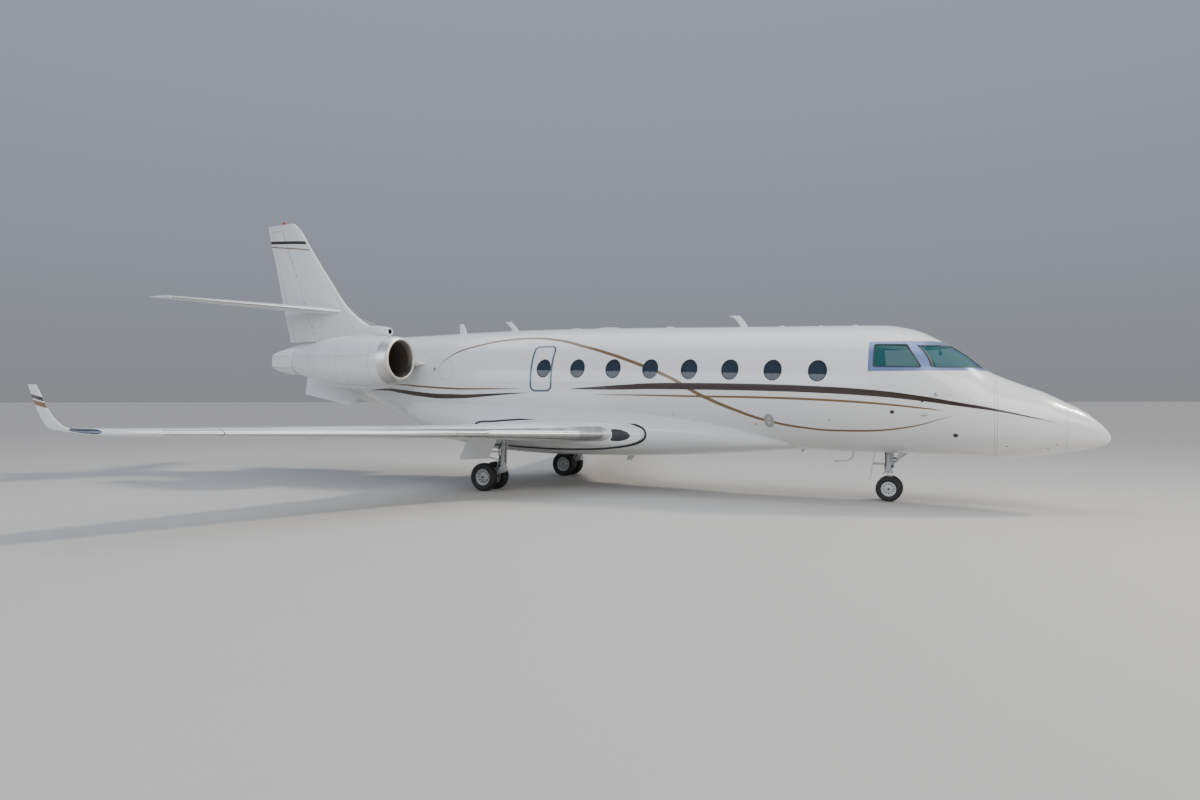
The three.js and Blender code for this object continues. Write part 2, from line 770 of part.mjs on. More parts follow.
function rudderRow(height) {
  const [, lead, trail, thick] = blendRows(finSections, 0, height);
  const station = rudderStation(height);
  const radius = profileHalf((station - lead) / (trail - lead)) * thick - 1;
  const point = (s) => new THREE.Vector3(stationX(s), 0, height);
  return { hinge: point(station), trailing: point(trail), radius };
}

function finSolid(grow) {
  const full = () => 1;
  const toRudder = (height) => (lead, trail) => {
    const stop = rudderStation(height) - rudderRow(height).radius * 1.06 - swing - 2;
    return (stop - lead) / (trail - lead);
  };
  const foot = rudderFoot.height - swing - gap;
  const head = rudderHead.height + swing + 2;
  const between = finSections.map((row) => row[0]).filter((z) => z > foot && z < head);
  const heights = [finSections[0][0], foot, ...between, head];
  const rings = heights.map((height) => finRing(height, toRudder(height), grow));
  rings.push(finRing(head + 0.5, full, grow), finRing(finSections.at(-1)[0], full, grow));
  return loft(rings);
}

function addFin() {
  let fin = finSolid(0);
  fin = fin.add(beaconDome()).add(ramInletDuct());
  const rows = [rudderFoot.height, 4140, 5140, rudderHead.height].map(rudderRow);
  let rudder = controlSurface(rows, new THREE.Vector3(0, 1, 0));
  const [start, end] = [rows[0].hinge, rows.at(-1).hinge];
  const aft = new THREE.Vector3(-1, 0, 0);
  [fin, rudder] = hingePlates(fin, rudder, start, end, [0.15, 0.5, 0.85], aft);
  fin = fin.subtract(bodySolid(1000, tailEnd, gap));
  hinges.rudder = { start, end };
  add('fin', fin, 'whitePaint');
  add('rudder', rudder.subtract(bodySolid(1000, tailEnd, swing)), 'whitePaint');
}

function beaconDome() {
  const base = finSections.at(-1)[0] - 20;
  const rise = beacon.top - base;
  const points = [[0, 0], [beacon.radius, 0], [beacon.radius, rise * 0.5]];
  for (const degrees of [30, 60]) {
    const angle = radians(degrees);
    const out = beacon.radius * Math.cos(angle);
    points.push([out, rise * (0.5 + 0.5 * Math.sin(angle))]);
  }
  points.push([0, rise]);
  const profile = points.map(([radius, along]) => new THREE.Vector2(radius, along));
  const upright = new THREE.Matrix4().makeRotationX(Math.PI / 2);
  upright.setPosition(stationX(beacon.station), 0, base);
  return solidOf(new THREE.LatheGeometry(profile, 12), upright);
}

// A round inlet leads the fin's root
function ramInletDuct() {
  const { station, height, outer, inner, depth } = ramInlet;
  const rows = [[0, height, outer], [500, height + 40, outer * 1.35], [1100, height + 60, outer * 1.2]];
  const rings = rows.map(([aft, z, radius]) => {
    const ring = [];
    for (let j = 0; j < 16; j++) {
      const angle = (2 * Math.PI * j) / 16;
      ring.push([stationX(station + aft), radius * Math.cos(angle), z + radius * Math.sin(angle)]);
    }
    return ring;
  });
  const mouth = cylinderBetween(
    [stationX(station - 10), 0, height],
    [stationX(station + depth), 0, height],
    inner,
  );
  return loft(rings).subtract(mouth);
}

function tailplaneRing(row, side, end) {
  const [y, z, lead, trail, thick] = row;
  const chord = trail - lead;
  return profileOutline(end).map(([share, sign]) => {
    const half = sectionHalf(share, thick);
    return [
      stationX(lead + share * chord),
      side * y,
      z + sign * half + tailplaneTilt * chord * (share - 0.4),
    ];
  });
}

function tailplaneSurfaceRow(y, side) {
  const [, z, lead, trail, thick] = blendRows(tailplaneSections, 0, y);
  const chord = trail - lead;
  const along = (share) => new THREE.Vector3(
    stationX(lead + share * chord),
    side * y,
    z + tailplaneTilt * chord * (share - 0.4),
  );
  return {
    hinge: along(tailplaneHinge),
    trailing: along(1),
    radius: profileHalf(tailplaneHinge) * thick - 1,
  };
}

function addTailplane() {
  const up = new THREE.Vector3(0, 0, 1);
  const aft = new THREE.Vector3(-1, 0, 0);
  const { from, to, half, low, high } = rudderRoom;
  const taken = finSolid(gap).add(boxBetween([stationX(to), -half, low], [stationX(from), half, high]));
  for (const [sideName, side] of sides) {
    const cutAt = (row) => {
      const radius = profileHalf(tailplaneHinge) * row[4] - 1;
      return tailplaneHinge - (radius + swing) / (row[3] - row[2]);
    };
    const rowAt = (y) => blendRows(tailplaneSections, 0, y);
    const cutRows = [tailplaneSections[0], rowAt(elevatorSpan[1] + swing - 0.5)];
    const rings = cutRows.map((row) => tailplaneRing(row, side, cutAt(row)));
    rings.push(tailplaneRing(rowAt(elevatorSpan[1] + swing), side, 1));
    rings.push(...tailplaneSections.slice(1).map((row) => tailplaneRing(row, side, 1)));
    let tailplane = loft(rings);
    const ends = elevatorSpan.map((y) => tailplaneSurfaceRow(y, side));
    let elevator = controlSurface(ends, up);
    const [start, end] = ends.map((row) => row.hinge);
    [tailplane, elevator] = hingePlates(tailplane, elevator, start, end, [0.2, 0.8], aft);
    add(`tailplane_${sideName}`, tailplane.subtract(taken), 'whitePaint');
    add(`elevator_${sideName}`, elevator, 'whitePaint');
    hinges[`elevator_${sideName}`] = { start, end };
  }
}

// Engines

function enginePlace(side) {
  const tilt = Math.atan(bodySlope);
  const place = new THREE.Matrix4().makeRotationY(tilt);
  place.setPosition(stationX(intake.station), side * engineOut, intake.height);
  return place;
}

function placed(solid, matrix) {
  const mesh = solid.getMesh();
  const geometry = new THREE.BufferGeometry();
  geometry.setAttribute('position', new THREE.BufferAttribute(mesh.vertProperties, 3));
  geometry.setIndex(new THREE.BufferAttribute(mesh.triVerts, 1));
  geometry.applyMatrix4(matrix);
  return solidFrom(geometry.attributes.position.array, geometry.index.array);
}

// The lip end of a nacelle's solid is lifted so that the intake looks a little down the airflow
function liftedLip(solid) {
  return solid.warp((vertex) => {
    const aft = Math.max(0, -vertex[0]);
    if (aft < lipLift.reach) vertex[2] += lipLift.rise * (1 - aft / lipLift.reach) ** 2;
  });
}

function grownProfile(profile, amount) {
  return profile.map(([aft, radius]) => [aft, radius + amount]);
}

function nacelleFilled(grow) {
  const outer = grownProfile(nacelleOuter, grow);
  const end = outer.at(-1)[0];
  const profile = [[-grow, 0], [-grow, outer[0][1]], ...outer.slice(1), [end, 0]];
  return liftedLip(revolveAboutX(profile, nacelleSides));
}

function reverserSolid() {
  const inner = grownProfile([...reverserOuter].reverse(), -reverserWall);
  let solid = revolveAboutX([...reverserOuter, ...inner, reverserOuter[0]], nacelleSides);
  const upper = reverserCut.map(([aft, half]) => [-aft, half]);
  const lower = reverserCut.map(([aft, half]) => [-aft, -half]).reverse();
  const outline = [...upper, ...lower];
  const ring = (y) => outline.map(([x, z]) => [x, y, z]);
  solid = solid.intersect(loft([ring(-600), ring(600)]));
  const { from, to, half, inner: near, outer: far } = reverserBeam;
  for (const [, side] of sides) {
    const corners = [[-from, near], [-from, far], [-to + 60, far - 22], [-to, near + 8]];
    const level = (z) => corners.map(([x, y]) => [x, side * y, z]);
    solid = solid.add(loft([level(-half), level(half)]));
  }
  return solid;
}

function fanSolid() {
  const { tip, hub, front, face, back, blades } = fan;
  const spinner = [[front, 0], [front + 18, 36], [front + 50, 74], [face, hub], [back, hub], [back, 0]];
  let solid = revolveAboutX(spinner, 16);
  const stations = [[hub - 12, 55, 30], [tip, 78, 62]];
  for (let i = 0; i < blades; i++) {
    const turn = (2 * Math.PI * i) / blades;
    const rings = stations.map(([radius, halfChord, stagger]) => {
      const lean = radians(stagger);
      const corners = [[-halfChord, -3], [halfChord, -3], [halfChord, 3], [-halfChord, 3]];
      return corners.map(([chord, thick]) => {
        const along = chord * Math.cos(lean) - thick * Math.sin(lean);
        const across = chord * Math.sin(lean) + thick * Math.cos(lean);
        const y = radius * Math.cos(turn) - across * Math.sin(turn);
        const z = radius * Math.sin(turn) + across * Math.cos(turn);
        return [-(face + 70) + along, y, z];
      });
    });
    solid = solid.add(loft(rings));
  }
  return solid;
}

function engineSolid(duct) {
  const { count, from, to, thickness } = strutVanes;
  let vanes = null;
  for (let i = 0; i < count; i++) {
    const turn = (2 * Math.PI * i) / count;
    const radial = new THREE.Vector3(0, Math.cos(turn), Math.sin(turn));
    const across = new THREE.Vector3(0, -Math.sin(turn), Math.cos(turn));
    const directions = [new THREE.Vector3(1, 0, 0), radial, across];
    const ranges = [[-to, -from], [250, 470], [-thickness / 2, thickness / 2]];
    const vane = boxAlong(new THREE.Vector3(), directions, ranges);
    vanes = vanes ? vanes.add(vane) : vane;
  }
  return revolveAboutX(engineProfile, 16).add(vanes.intersect(duct));
}

function pylonSolid(side) {
  const chord = pylon.to - pylon.from;
  const ring = (y) => profileOutline(1).map(([share, sign]) => {
    const half = sectionHalf(share, pylon.thickness);
    return [
      stationX(pylon.from + share * chord),
      side * y,
      pylon.height + bodySlope * chord * (share - 0.5) + sign * half,
    ];
  });
  return loft([ring(500), ring(1500)]);
}

function addEngines() {
  const ductLine = [...nacelleInner].reverse();
  const profile = [[ductLine[0][0], 0], ...grownProfile(ductLine, -gap), [ductLine.at(-1)[0], 0]];
  const duct = revolveAboutX(profile, nacelleSides);
  const walls = [...nacelleOuter, ...nacelleInner, nacelleOuter[0]];
  const cowl = liftedLip(revolveAboutX(walls, nacelleSides));
  for (const [sideName, side] of sides) {
    const place = enginePlace(side);
    add(`nacelle_${sideName}`, placed(cowl, place), 'whitePaint');
    add(`reverser_${sideName}`, placed(reverserSolid(), place), 'whitePaint');
    add(`fan_${sideName}`, placed(fanSolid(), place), 'polished');
    add(`engine_${sideName}`, placed(engineSolid(duct), place), 'darkMetal');
    const filled = placed(nacelleFilled(gap), place);
    const strut = pylonSolid(side).subtract(filled).subtract(bodySolid(1000, tailEnd, gap));
    add(`pylon_${sideName}`, strut, 'whitePaint');
    hinges[`fan_${sideName}`] = {
      point: [stationX(intake.station), side * engineOut, intake.height],
      axis: [1, 0, -bodySlope],
    };
  }
}

function addVentralFins() {
  const { root, edge, thickness } = ventralOut;
  for (const [sideName, side] of sides) {
    const corner = ([station, height], out) => {
      return new THREE.Vector3(stationX(station), side * out, height);
    };
    const [a, b] = ventralRoot.map((point) => corner(point, root));
    const [c, d] = ventralEdge.map((point) => corner(point, edge));
    const normal = new THREE.Vector3().crossVectors(b.clone().sub(a), c.clone().sub(a)).normalize();
    const face = (amount) => [a, b, d, c].map((p) => {
      return p.clone().addScaledVector(normal, amount * thickness).toArray();
    });
    const plate = loft([face(-0.5), face(0.5)]);
    const trimmed = plate.subtract(bodySolid(1000, tailEnd, gap));
    add(`ventral_fin_${sideName}`, trimmed, 'whitePaint');
  }
}

// Landing gear

function tyre(centre, radius, width, rim) {
  const half = width / 2;
  const shoulder = radius - (radius - rim) * 0.28;
  const profile = [
    [-half * 0.62, rim + gap], [-half * 0.96, rim + (radius - rim) * 0.35],
    [-half * 0.95, shoulder], [-half * 0.55, radius * 0.992], [0, radius],
    [half * 0.55, radius * 0.992], [half * 0.95, shoulder],
    [half * 0.96, rim + (radius - rim) * 0.35], [half * 0.62, rim + gap],
    [-half * 0.62, rim + gap],
  ];
  return revolveAboutY(profile, wheelSides, centre);
}

// Two wheel discs on one axle; the discs' outer faces are dished
function wheelPair(centre, out, width, rim, axle) {
  const half = width / 2;
  const disc = (side) => revolveAboutY([
    [side * (out - half * 0.6), 0], [side * (out - half * 0.6), rim],
    [side * (out + half * 0.62), rim], [side * (out + half * 0.62), rim - 16],
    [side * (out + half * 0.25), rim - 30], [side * (out + half * 0.25), axle * 1.9],
    [side * (out + half * 0.55), axle * 1.6], [side * (out + half * 0.55), 0],
  ], wheelSides, centre);
  const [x, y, z] = centre;
  const bar = cylinderBetween([x, y - out, z], [x, y + out, z], axle, 20);
  return bar.add(disc(1)).add(disc(-1));
}

function addNoseGear() {
  const { station, radius, width, out, rim } = noseWheel;
  const x = stationX(station);
  const centre = [x, 0, radius];
  for (const [sideName, side] of sides) {
    add(`nose_tyre_${sideName}`, tyre([x, side * out, radius], radius, width, rim), 'rubber');
  }
  add('nose_wheels', wheelPair(centre, out, width, rim, noseLeg.axle), 'bareMetal');
  const boss = cylinderBetween([x, -58, radius], [x, 58, radius], noseLeg.boss, 20);
  const bore = cylinderBetween([x, -90, radius], [x, 90, radius], noseLeg.bore, 20);
  const piston = cylinderBetween([x, 0, radius + 10], [x, 0, noseLeg.collar], noseLeg.piston);
  const link = boxBetween([x - 130, -24, radius + 60], [x - 20, 24, radius + 82]);
  const fork = boss.add(piston).add(link).subtract(bore);
  add('nose_fork', fork, 'bareMetal');
  const leg = cylinderBetween([x, 0, noseLeg.collar + gap], [x, 0, noseLeg.top], noseLeg.radius);
  const brace = cylinderBetween([x, 0, 620], [x + 420, 0, 960], 26);
  const door = noseGearDoor();
  const bracket = boxBetween([stationX(3640), -20, 640], [x, 20, 680]);
  const strut = leg.add(brace).add(bracket).subtract(bodySolid(1000, 8000, gap));
  add('nose_strut', strut.subtract(door.grown), 'bareMetal');
  add('nose_gear_door', door.solid.subtract(bodySolid(1000, 8000, gap)), 'whitePaint');
}

function noseGearDoor() {
  const { top, foot, half, thickness } = noseDoor;
  const outline = (extra) => [
    [top[0] - extra, top[1]], [top[0] + thickness + extra, top[1]],
    [foot[0] + thickness + extra, foot[1] - extra], [foot[0] - extra, foot[1] - extra],
  ];
  return {
    solid: plateAcross(outline(0), -half, half),
    grown: plateAcross(outline(gap), -half - gap, half + gap),
  };
}

function addMainGear() {
  const { station, radius, width, out, twin, rim } = mainWheel;
  for (const [sideName, side] of sides) {
    const y = side * out;
    const x = stationX(station);
    const legX = stationX(mainLeg.station);
    for (const [place, step] of [['inner', -1], ['outer', 1]]) {
      const centre = [x, y + side * step * twin, radius];
      add(`main_tyre_${sideName}_${place}`, tyre(centre, radius, width, rim), 'rubber');
    }
    const wheels = wheelPair([x, y, radius], twin, width, rim, mainLeg.axle);
    add(`main_wheels_${sideName}`, wheels, 'bareMetal');
    const { top, foot, arm, bore } = mainLeg;
    const leg = cylinderBetween([legX, y, foot], [legX + 40, y, top], mainLeg.radius);
    const knuckle = cylinderBetween([legX, y - 62, foot + 10], [legX, y + 62, foot + 10], 70);
    const trailing = cylinderBetween([legX, y, foot + 10], [x, y, radius + 4], arm);
    const boss = cylinderBetween([x, y - 70, radius], [x, y + 70, radius], 52, 20);
    const shock = cylinderBetween([x + 120, y, radius + 40], [legX + 10, y, 830], 30);
    const hole = cylinderBetween([x, y - 120, radius], [x, y + 120, radius], bore, 20);
    let strut = [knuckle, trailing, boss, shock].reduce((whole, piece) => whole.add(piece), leg);
    strut = strut.subtract(hole).subtract(wingGrown(side));
    add(`main_strut_${sideName}`, strut, 'bareMetal');
    addMainDoor(sideName, side);
  }
}

// The door hangs from the wing's underside
function addMainDoor(sideName, side) {
  const { out, thickness, outline } = mainDoor;
  const plate = plateAcross(outline, side * out, side * (out + thickness));
  const trimmed = plate.subtract(wingGrown(side));
  add(`main_gear_door_${sideName}`, trimmed, 'whitePaint');
}

addBody();
addAftBody();
addBellyFairing();
addCabin();
addWings();
addFin();
addTailplane();
addEngines();
addVentralFins();
addNoseGear();
addMainGear();
jet.userData.hinges = hinges;

export default jet;
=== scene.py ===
import math

import bpy
import numpy as np
from mathutils import Matrix, Vector


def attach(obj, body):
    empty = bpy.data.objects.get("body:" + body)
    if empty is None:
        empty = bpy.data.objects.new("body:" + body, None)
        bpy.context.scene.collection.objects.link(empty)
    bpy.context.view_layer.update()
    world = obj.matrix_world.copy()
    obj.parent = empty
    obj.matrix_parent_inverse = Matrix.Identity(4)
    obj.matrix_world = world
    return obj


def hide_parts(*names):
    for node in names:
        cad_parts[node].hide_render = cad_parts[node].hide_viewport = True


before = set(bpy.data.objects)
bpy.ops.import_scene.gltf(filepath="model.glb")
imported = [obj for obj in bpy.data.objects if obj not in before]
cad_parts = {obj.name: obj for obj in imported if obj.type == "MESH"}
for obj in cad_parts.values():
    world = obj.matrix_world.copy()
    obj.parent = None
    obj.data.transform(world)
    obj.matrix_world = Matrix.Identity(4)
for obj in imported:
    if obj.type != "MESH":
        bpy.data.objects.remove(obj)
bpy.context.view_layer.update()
print("frame loaded")

# Every table below is in millimetres. A station is a distance aft of the nose tip.
noseX = 9.485
mm = 0.001


def alongX(station):
    return noseX - np.asarray(station, float) * mm


def spotX(station):  # a station's X in millimetres
    return float(alongX(station)) / mm


# Shader helpers


def addNode(tree, kind, inputs=None, **values):
    made = tree.nodes.new(kind)
    for key, value in values.items():
        setattr(made, key, value)
    for key, value in (inputs or {}).items():
        made.inputs[key].default_value = value
    return made


def wire(tree, source, target):
    tree.links.new(source, target)


def feed(tree, value, socket):  # a number, a colour or another node's output
    if isinstance(value, (int, float)):
        socket.default_value = value
    elif isinstance(value, tuple):
        socket.default_value = (*value, 1)
    else:
        wire(tree, value, socket)


def maths(tree, operation, *values):
    made = addNode(tree, "ShaderNodeMath", operation=operation)
    for socket, value in zip(made.inputs, values):
        feed(tree, value, socket)
    return made.outputs[0]


def objectPlace(tree):
    return tree.nodes.new("ShaderNodeTexCoord").outputs["Object"]


def bodyAxes(tree):  # distance aft of the nose tip, distance to port and height, in metres
    place = addNode(tree, "ShaderNodeSeparateXYZ")
    wire(tree, objectPlace(tree), place.inputs[0])
    x, y, z = place.outputs
    return maths(tree, "SUBTRACT", noseX, x), y, z


def within(tree, value, centre, half, soft):  # 1 inside centre +- half, with soft edges
    away = maths(tree, "ABSOLUTE", maths(tree, "SUBTRACT", value, centre))
    made = addNode(tree, "ShaderNodeMapRange", {"From Min": half + soft, "From Max": half},
                   interpolation_type="SMOOTHSTEP")
    wire(tree, away, made.inputs["Value"])
    return made.outputs["Result"]


def newGroup(name, inputs, outputs):
    tree = bpy.data.node_groups.new(name, "ShaderNodeTree")
    for label, kind, value in inputs:
        socket = tree.interface.new_socket(label, in_out="INPUT", socket_type=kind)
        socket.default_value = value
    for label, kind in outputs:
        tree.interface.new_socket(label, in_out="OUTPUT", socket_type=kind)
    return tree, tree.nodes.new("NodeGroupInput"), tree.nodes.new("NodeGroupOutput")


def useGroup(tree, group, **values):
    return addNode(tree, "ShaderNodeGroup", values, node_tree=group)


def mixColour(tree, factor, first, second, blend="MIX"):
    made = addNode(tree, "ShaderNodeMix", data_type="RGBA", blend_type=blend)
    for index, value in ((0, factor), (6, first), (7, second)):  # the node's factor and its two colours
        feed(tree, value, made.inputs[index])
    return made.outputs[2]


def makeWear():  # slow variation of tint and gloss, with a fine grain in the height
    tree, given, out = newGroup(
        "wear",
        [("Scale", "NodeSocketFloat", 1.0), ("Grain", "NodeSocketFloat", 300.0),
         ("Tint", "NodeSocketFloat", 0.04), ("Gloss", "NodeSocketFloat", 0.08),
         ("Base Gloss", "NodeSocketFloat", 0.25)],
        [("Shade", "NodeSocketFloat"), ("Roughness", "NodeSocketFloat"), ("Height", "NodeSocketFloat")],
    )
    place = objectPlace(tree)
    slow, fine = (addNode(tree, "ShaderNodeTexNoise", {"Detail": detail}) for detail in (5, 2))
    for noise, key in ((slow, "Scale"), (fine, "Grain")):
        wire(tree, place, noise.inputs["Vector"])
        wire(tree, given.outputs[key], noise.inputs["Scale"])
    centred = maths(tree, "SUBTRACT", slow.outputs["Fac"], 0.5)
    shade = maths(tree, "MULTIPLY_ADD", centred, given.outputs["Tint"], 1.0)
    rough = maths(tree, "MULTIPLY_ADD", centred, given.outputs["Gloss"], given.outputs["Base Gloss"])
    wire(tree, shade, out.inputs["Shade"])
    wire(tree, rough, out.inputs["Roughness"])
    wire(tree, fine.outputs["Fac"], out.inputs["Height"])
    return tree


wearGroup = makeWear()


def startMaterial(name):
    material = bpy.data.materials.new(name)
    material.use_nodes = True
    return material, material.node_tree, material.node_tree.nodes["Principled BSDF"]


def wearOn(tree, shader, colour, scale, grain, tint, gloss, baseGloss):  # a varied colour and gloss on the shader
    wear = useGroup(tree, wearGroup, **{"Scale": scale, "Grain": grain, "Tint": tint, "Gloss": gloss,
                                        "Base Gloss": baseGloss})
    combined = addNode(tree, "ShaderNodeCombineColor")
    for index in range(3):
        wire(tree, wear.outputs["Shade"], combined.inputs[index])
    tone = mixColour(tree, 1.0, colour, combined.outputs[0], "MULTIPLY")
    wire(tree, tone, shader.inputs["Base Color"])
    wire(tree, wear.outputs["Roughness"], shader.inputs["Roughness"])
    return wear, tone


def bumpOn(tree, shader, wear, strength):
    bump = addNode(tree, "ShaderNodeBump", {"Strength": strength, "Distance": 0.002})
    wire(tree, wear.outputs["Height"], bump.inputs["Height"])
    wire(tree, bump.outputs[0], shader.inputs["Normal"])


def plainMaterial(name, colour, gloss=0.4, metallic=0.0, scale=3.0, tint=0.1, grain=200.0, bump=0.02, coat=0.0,
                  alpha=None):
    material, tree, shader = startMaterial(name)
    wear, _ = wearOn(tree, shader, colour, scale, grain, tint, gloss * 0.5, gloss)
    shader.inputs["Metallic"].default_value = metallic
    if bump:
        bumpOn(tree, shader, wear, bump)
    if coat:
        shader.inputs["Coat Weight"].default_value = coat
        shader.inputs["Coat Roughness"].default_value = 0.06
    if alpha is not None:
        shader.inputs["Alpha"].default_value = alpha
    return material


# Mesh helpers


def smoothRows(rows, at, stretch=0.0):  # monotone cubic through a table's columns, keyed by the first
    rows = np.array(rows, float)
    at = np.atleast_1d(np.asarray(at, float))
    key = np.sqrt(rows[:, 0] ** 2 + stretch * rows[:, 0]) if stretch else rows[:, 0]
    where = np.sqrt(np.clip(at, 0, None) ** 2 + stretch * np.clip(at, 0, None)) if stretch else at
    values = rows[:, 1:]
    step = np.diff(key)[:, None]
    slope = np.diff(values, axis=0) / step
    tangent = np.empty_like(values)
    tangent[0], tangent[-1] = slope[0], slope[-1]
    before, after = slope[:-1], slope[1:]
    same = before * after > 0
    w1, w2 = 2 * step[1:] + step[:-1], step[1:] + 2 * step[:-1]
    safeBefore, safeAfter = np.where(same, before, 1), np.where(same, after, 1)
    tangent[1:-1] = np.where(same, (w1 + w2) / (w1 / safeBefore + w2 / safeAfter), 0)
    i = np.clip(np.searchsorted(key, where, "right") - 1, 0, len(key) - 2)
    width = step[i]
    t = ((where - key[i])[:, None]) / width
    t = np.clip(t, 0, 1)
    a, b = values[i], values[i + 1]
    return ((1 + 2 * t) * (1 - t) ** 2 * a + t * (1 - t) ** 2 * width * tangent[i]
            + t ** 2 * (3 - 2 * t) * b + t ** 2 * (t - 1) * width * tangent[i + 1])


def straightRows(rows, at):
    rows = np.array(rows, float)
    at = np.atleast_1d(np.asarray(at, float))
    return np.stack([np.interp(at, rows[:, 0], rows[:, k]) for k in range(1, rows.shape[1])], axis=1)


def signedVolume(points, triangles):
    a, b, c = (points[triangles[:, k]] for k in range(3))
    return float(np.einsum("ij,ij->i", a, np.cross(b, c)).sum()) / 6


def meshFrom(points, faces):  # points in metres; closed shells are turned outwards
    points = np.asarray(points, float).reshape(-1, 3)
    corners = np.array([(f[0], f[k], f[k + 1]) for f in faces for k in range(1, len(f) - 1)])
    if signedVolume(points, corners) < 0:
        faces = [tuple(reversed(f)) for f in faces]
    mesh = bpy.data.meshes.new("piece")
    mesh.from_pydata(points.tolist(), [], [tuple(map(int, f)) for f in faces])
    mesh.validate()
    mesh.polygons.foreach_set("use_smooth", [True] * len(mesh.polygons))
    return mesh


def gridFaces(rows, columns):  # rows of rings
    return [(i * columns + j, i * columns + (j + 1) % columns, (i + 1) * columns + (j + 1) % columns,
             (i + 1) * columns + j) for i in range(rows - 1) for j in range(columns)]


def loopFaces(rows, columns):  # rings whose last row joins the first
    last = (rows - 1) * columns
    return gridFaces(rows, columns) + [(last + j, last + (j + 1) % columns, (j + 1) % columns, j)
                                       for j in range(columns)]


def vectorsOf(items, key):  # one row of three for each item
    values = np.empty(len(items) * 3)
    items.foreach_get(key, values)
    return values.reshape(-1, 3)


def turns(sides):
    return [2 * math.pi * j / sides for j in range(sides)]


def ringAngles(sides):
    return np.arange(sides) * 2 * math.pi / sides


def loftMesh(rings):  # rings: (rows, columns, 3)
    rings = np.asarray(rings, float)
    rows, columns = rings.shape[:2]
    caps = [tuple(range(columns))[::-1], tuple(range((rows - 1) * columns, rows * columns))]
    return meshFrom(rings.reshape(-1, 3), gridFaces(rows, columns) + caps)


def revolve(profile, sides):  # profile [along, radius] about +X, with -X aft
    angles = ringAngles(sides)
    return np.stack([
        np.stack([np.full(sides, -along), radius * np.cos(angles), radius * np.sin(angles)], axis=1)
        for along, radius in np.array(profile, float)])


def newPiece(name, mesh, materials):
    piece = bpy.data.objects.new(name, mesh)
    bpy.context.scene.collection.objects.link(piece)
    for material in materials if isinstance(materials, (list, tuple)) else [materials]:
        mesh.materials.append(material)
    return piece


def carry(piece, body, *nodes, slot=None):
    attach(piece, body)
    if nodes:
        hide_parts(*nodes)
    return piece


def dress(name, mesh, materials, body, *nodes, slot, angle=35):  # a shaded piece on its body; a list is joined
    if isinstance(mesh, list):
        mesh = joinMeshes(mesh)
    return carry(shadeByAngle(newPiece(name, mesh, materials), angle), body, *nodes, slot=slot)


def joinMeshes(meshes):
    points, faces, marks, start = [], [], [], 0
    for mesh in meshes:
        points.append(vectorsOf(mesh.vertices, "co"))
        for polygon in mesh.polygons:
            faces.append(tuple(start + v for v in polygon.vertices))
            marks.append((polygon.material_index, polygon.use_smooth))
        start += len(mesh.vertices)
    joined = bpy.data.meshes.new("piece")
    joined.from_pydata(np.concatenate(points).tolist(), [], faces)
    joined.polygons.foreach_set("material_index", [m[0] for m in marks])
    joined.polygons.foreach_set("use_smooth", [m[1] for m in marks])
    return joined


def settled(piece):  # the piece's modifiers made part of its mesh
    graph = bpy.context.evaluated_depsgraph_get()
    mesh = bpy.data.meshes.new_from_object(piece.evaluated_get(graph))
    piece.modifiers.clear()
    piece.data = mesh
    return piece


def carved(piece, cutterMesh, operation="DIFFERENCE"):
    cutter = bpy.data.objects.new("cutter", cutterMesh)
    bpy.context.scene.collection.objects.link(cutter)
    modifier = piece.modifiers.new("carve", "BOOLEAN")
    modifier.operation = operation
    modifier.object = cutter
    modifier.solver = "MANIFOLD"
    settled(piece)
    bpy.data.objects.remove(cutter)
    return piece


def copyOf(piece, name):
    other = piece.copy()
    other.data = piece.data.copy()
    other.name = name
    bpy.context.scene.collection.objects.link(other)
    return other


def shadeByAngle(piece, degrees=35):
    mesh = piece.data
    mesh.polygons.foreach_set("use_smooth", [True] * len(mesh.polygons))
    mesh.set_sharp_from_angle(angle=math.radians(degrees))
    return piece


def prism(outline, axis, low, high):  # outline of two coordinates carried along Y ("y") or X ("x"), in metres
    def ring(value):
        if axis == "y":
            return [(a, value, b) for a, b in outline]
        return [(value, a, b) for a, b in outline]
    return loftMesh([ring(low), ring(high)])


def roundedOutline(corners, radius, steps=6):
    corners = [Vector(c) for c in corners]
    result = []
    for i, corner in enumerate(corners):
        before = (corners[i - 1] - corner).normalized()
        after = (corners[(i + 1) % len(corners)] - corner).normalized()
        opening = before.angle(after)
        reach = radius / math.tan(opening / 2)
        start, end = corner + before * reach, corner + after * reach
        for k in range(steps + 1):
            t = k / steps
            point = (1 - t) ** 2 * start + 2 * t * (1 - t) * corner + t ** 2 * end
            result.append(tuple(point))
    return result


def ovalOutline(centreX, centreZ, halfX, halfZ, sides=40):
    return [(centreX + halfX * math.cos(a), centreZ + halfZ * math.sin(a)) for a in turns(sides)]


# Paint and its markings

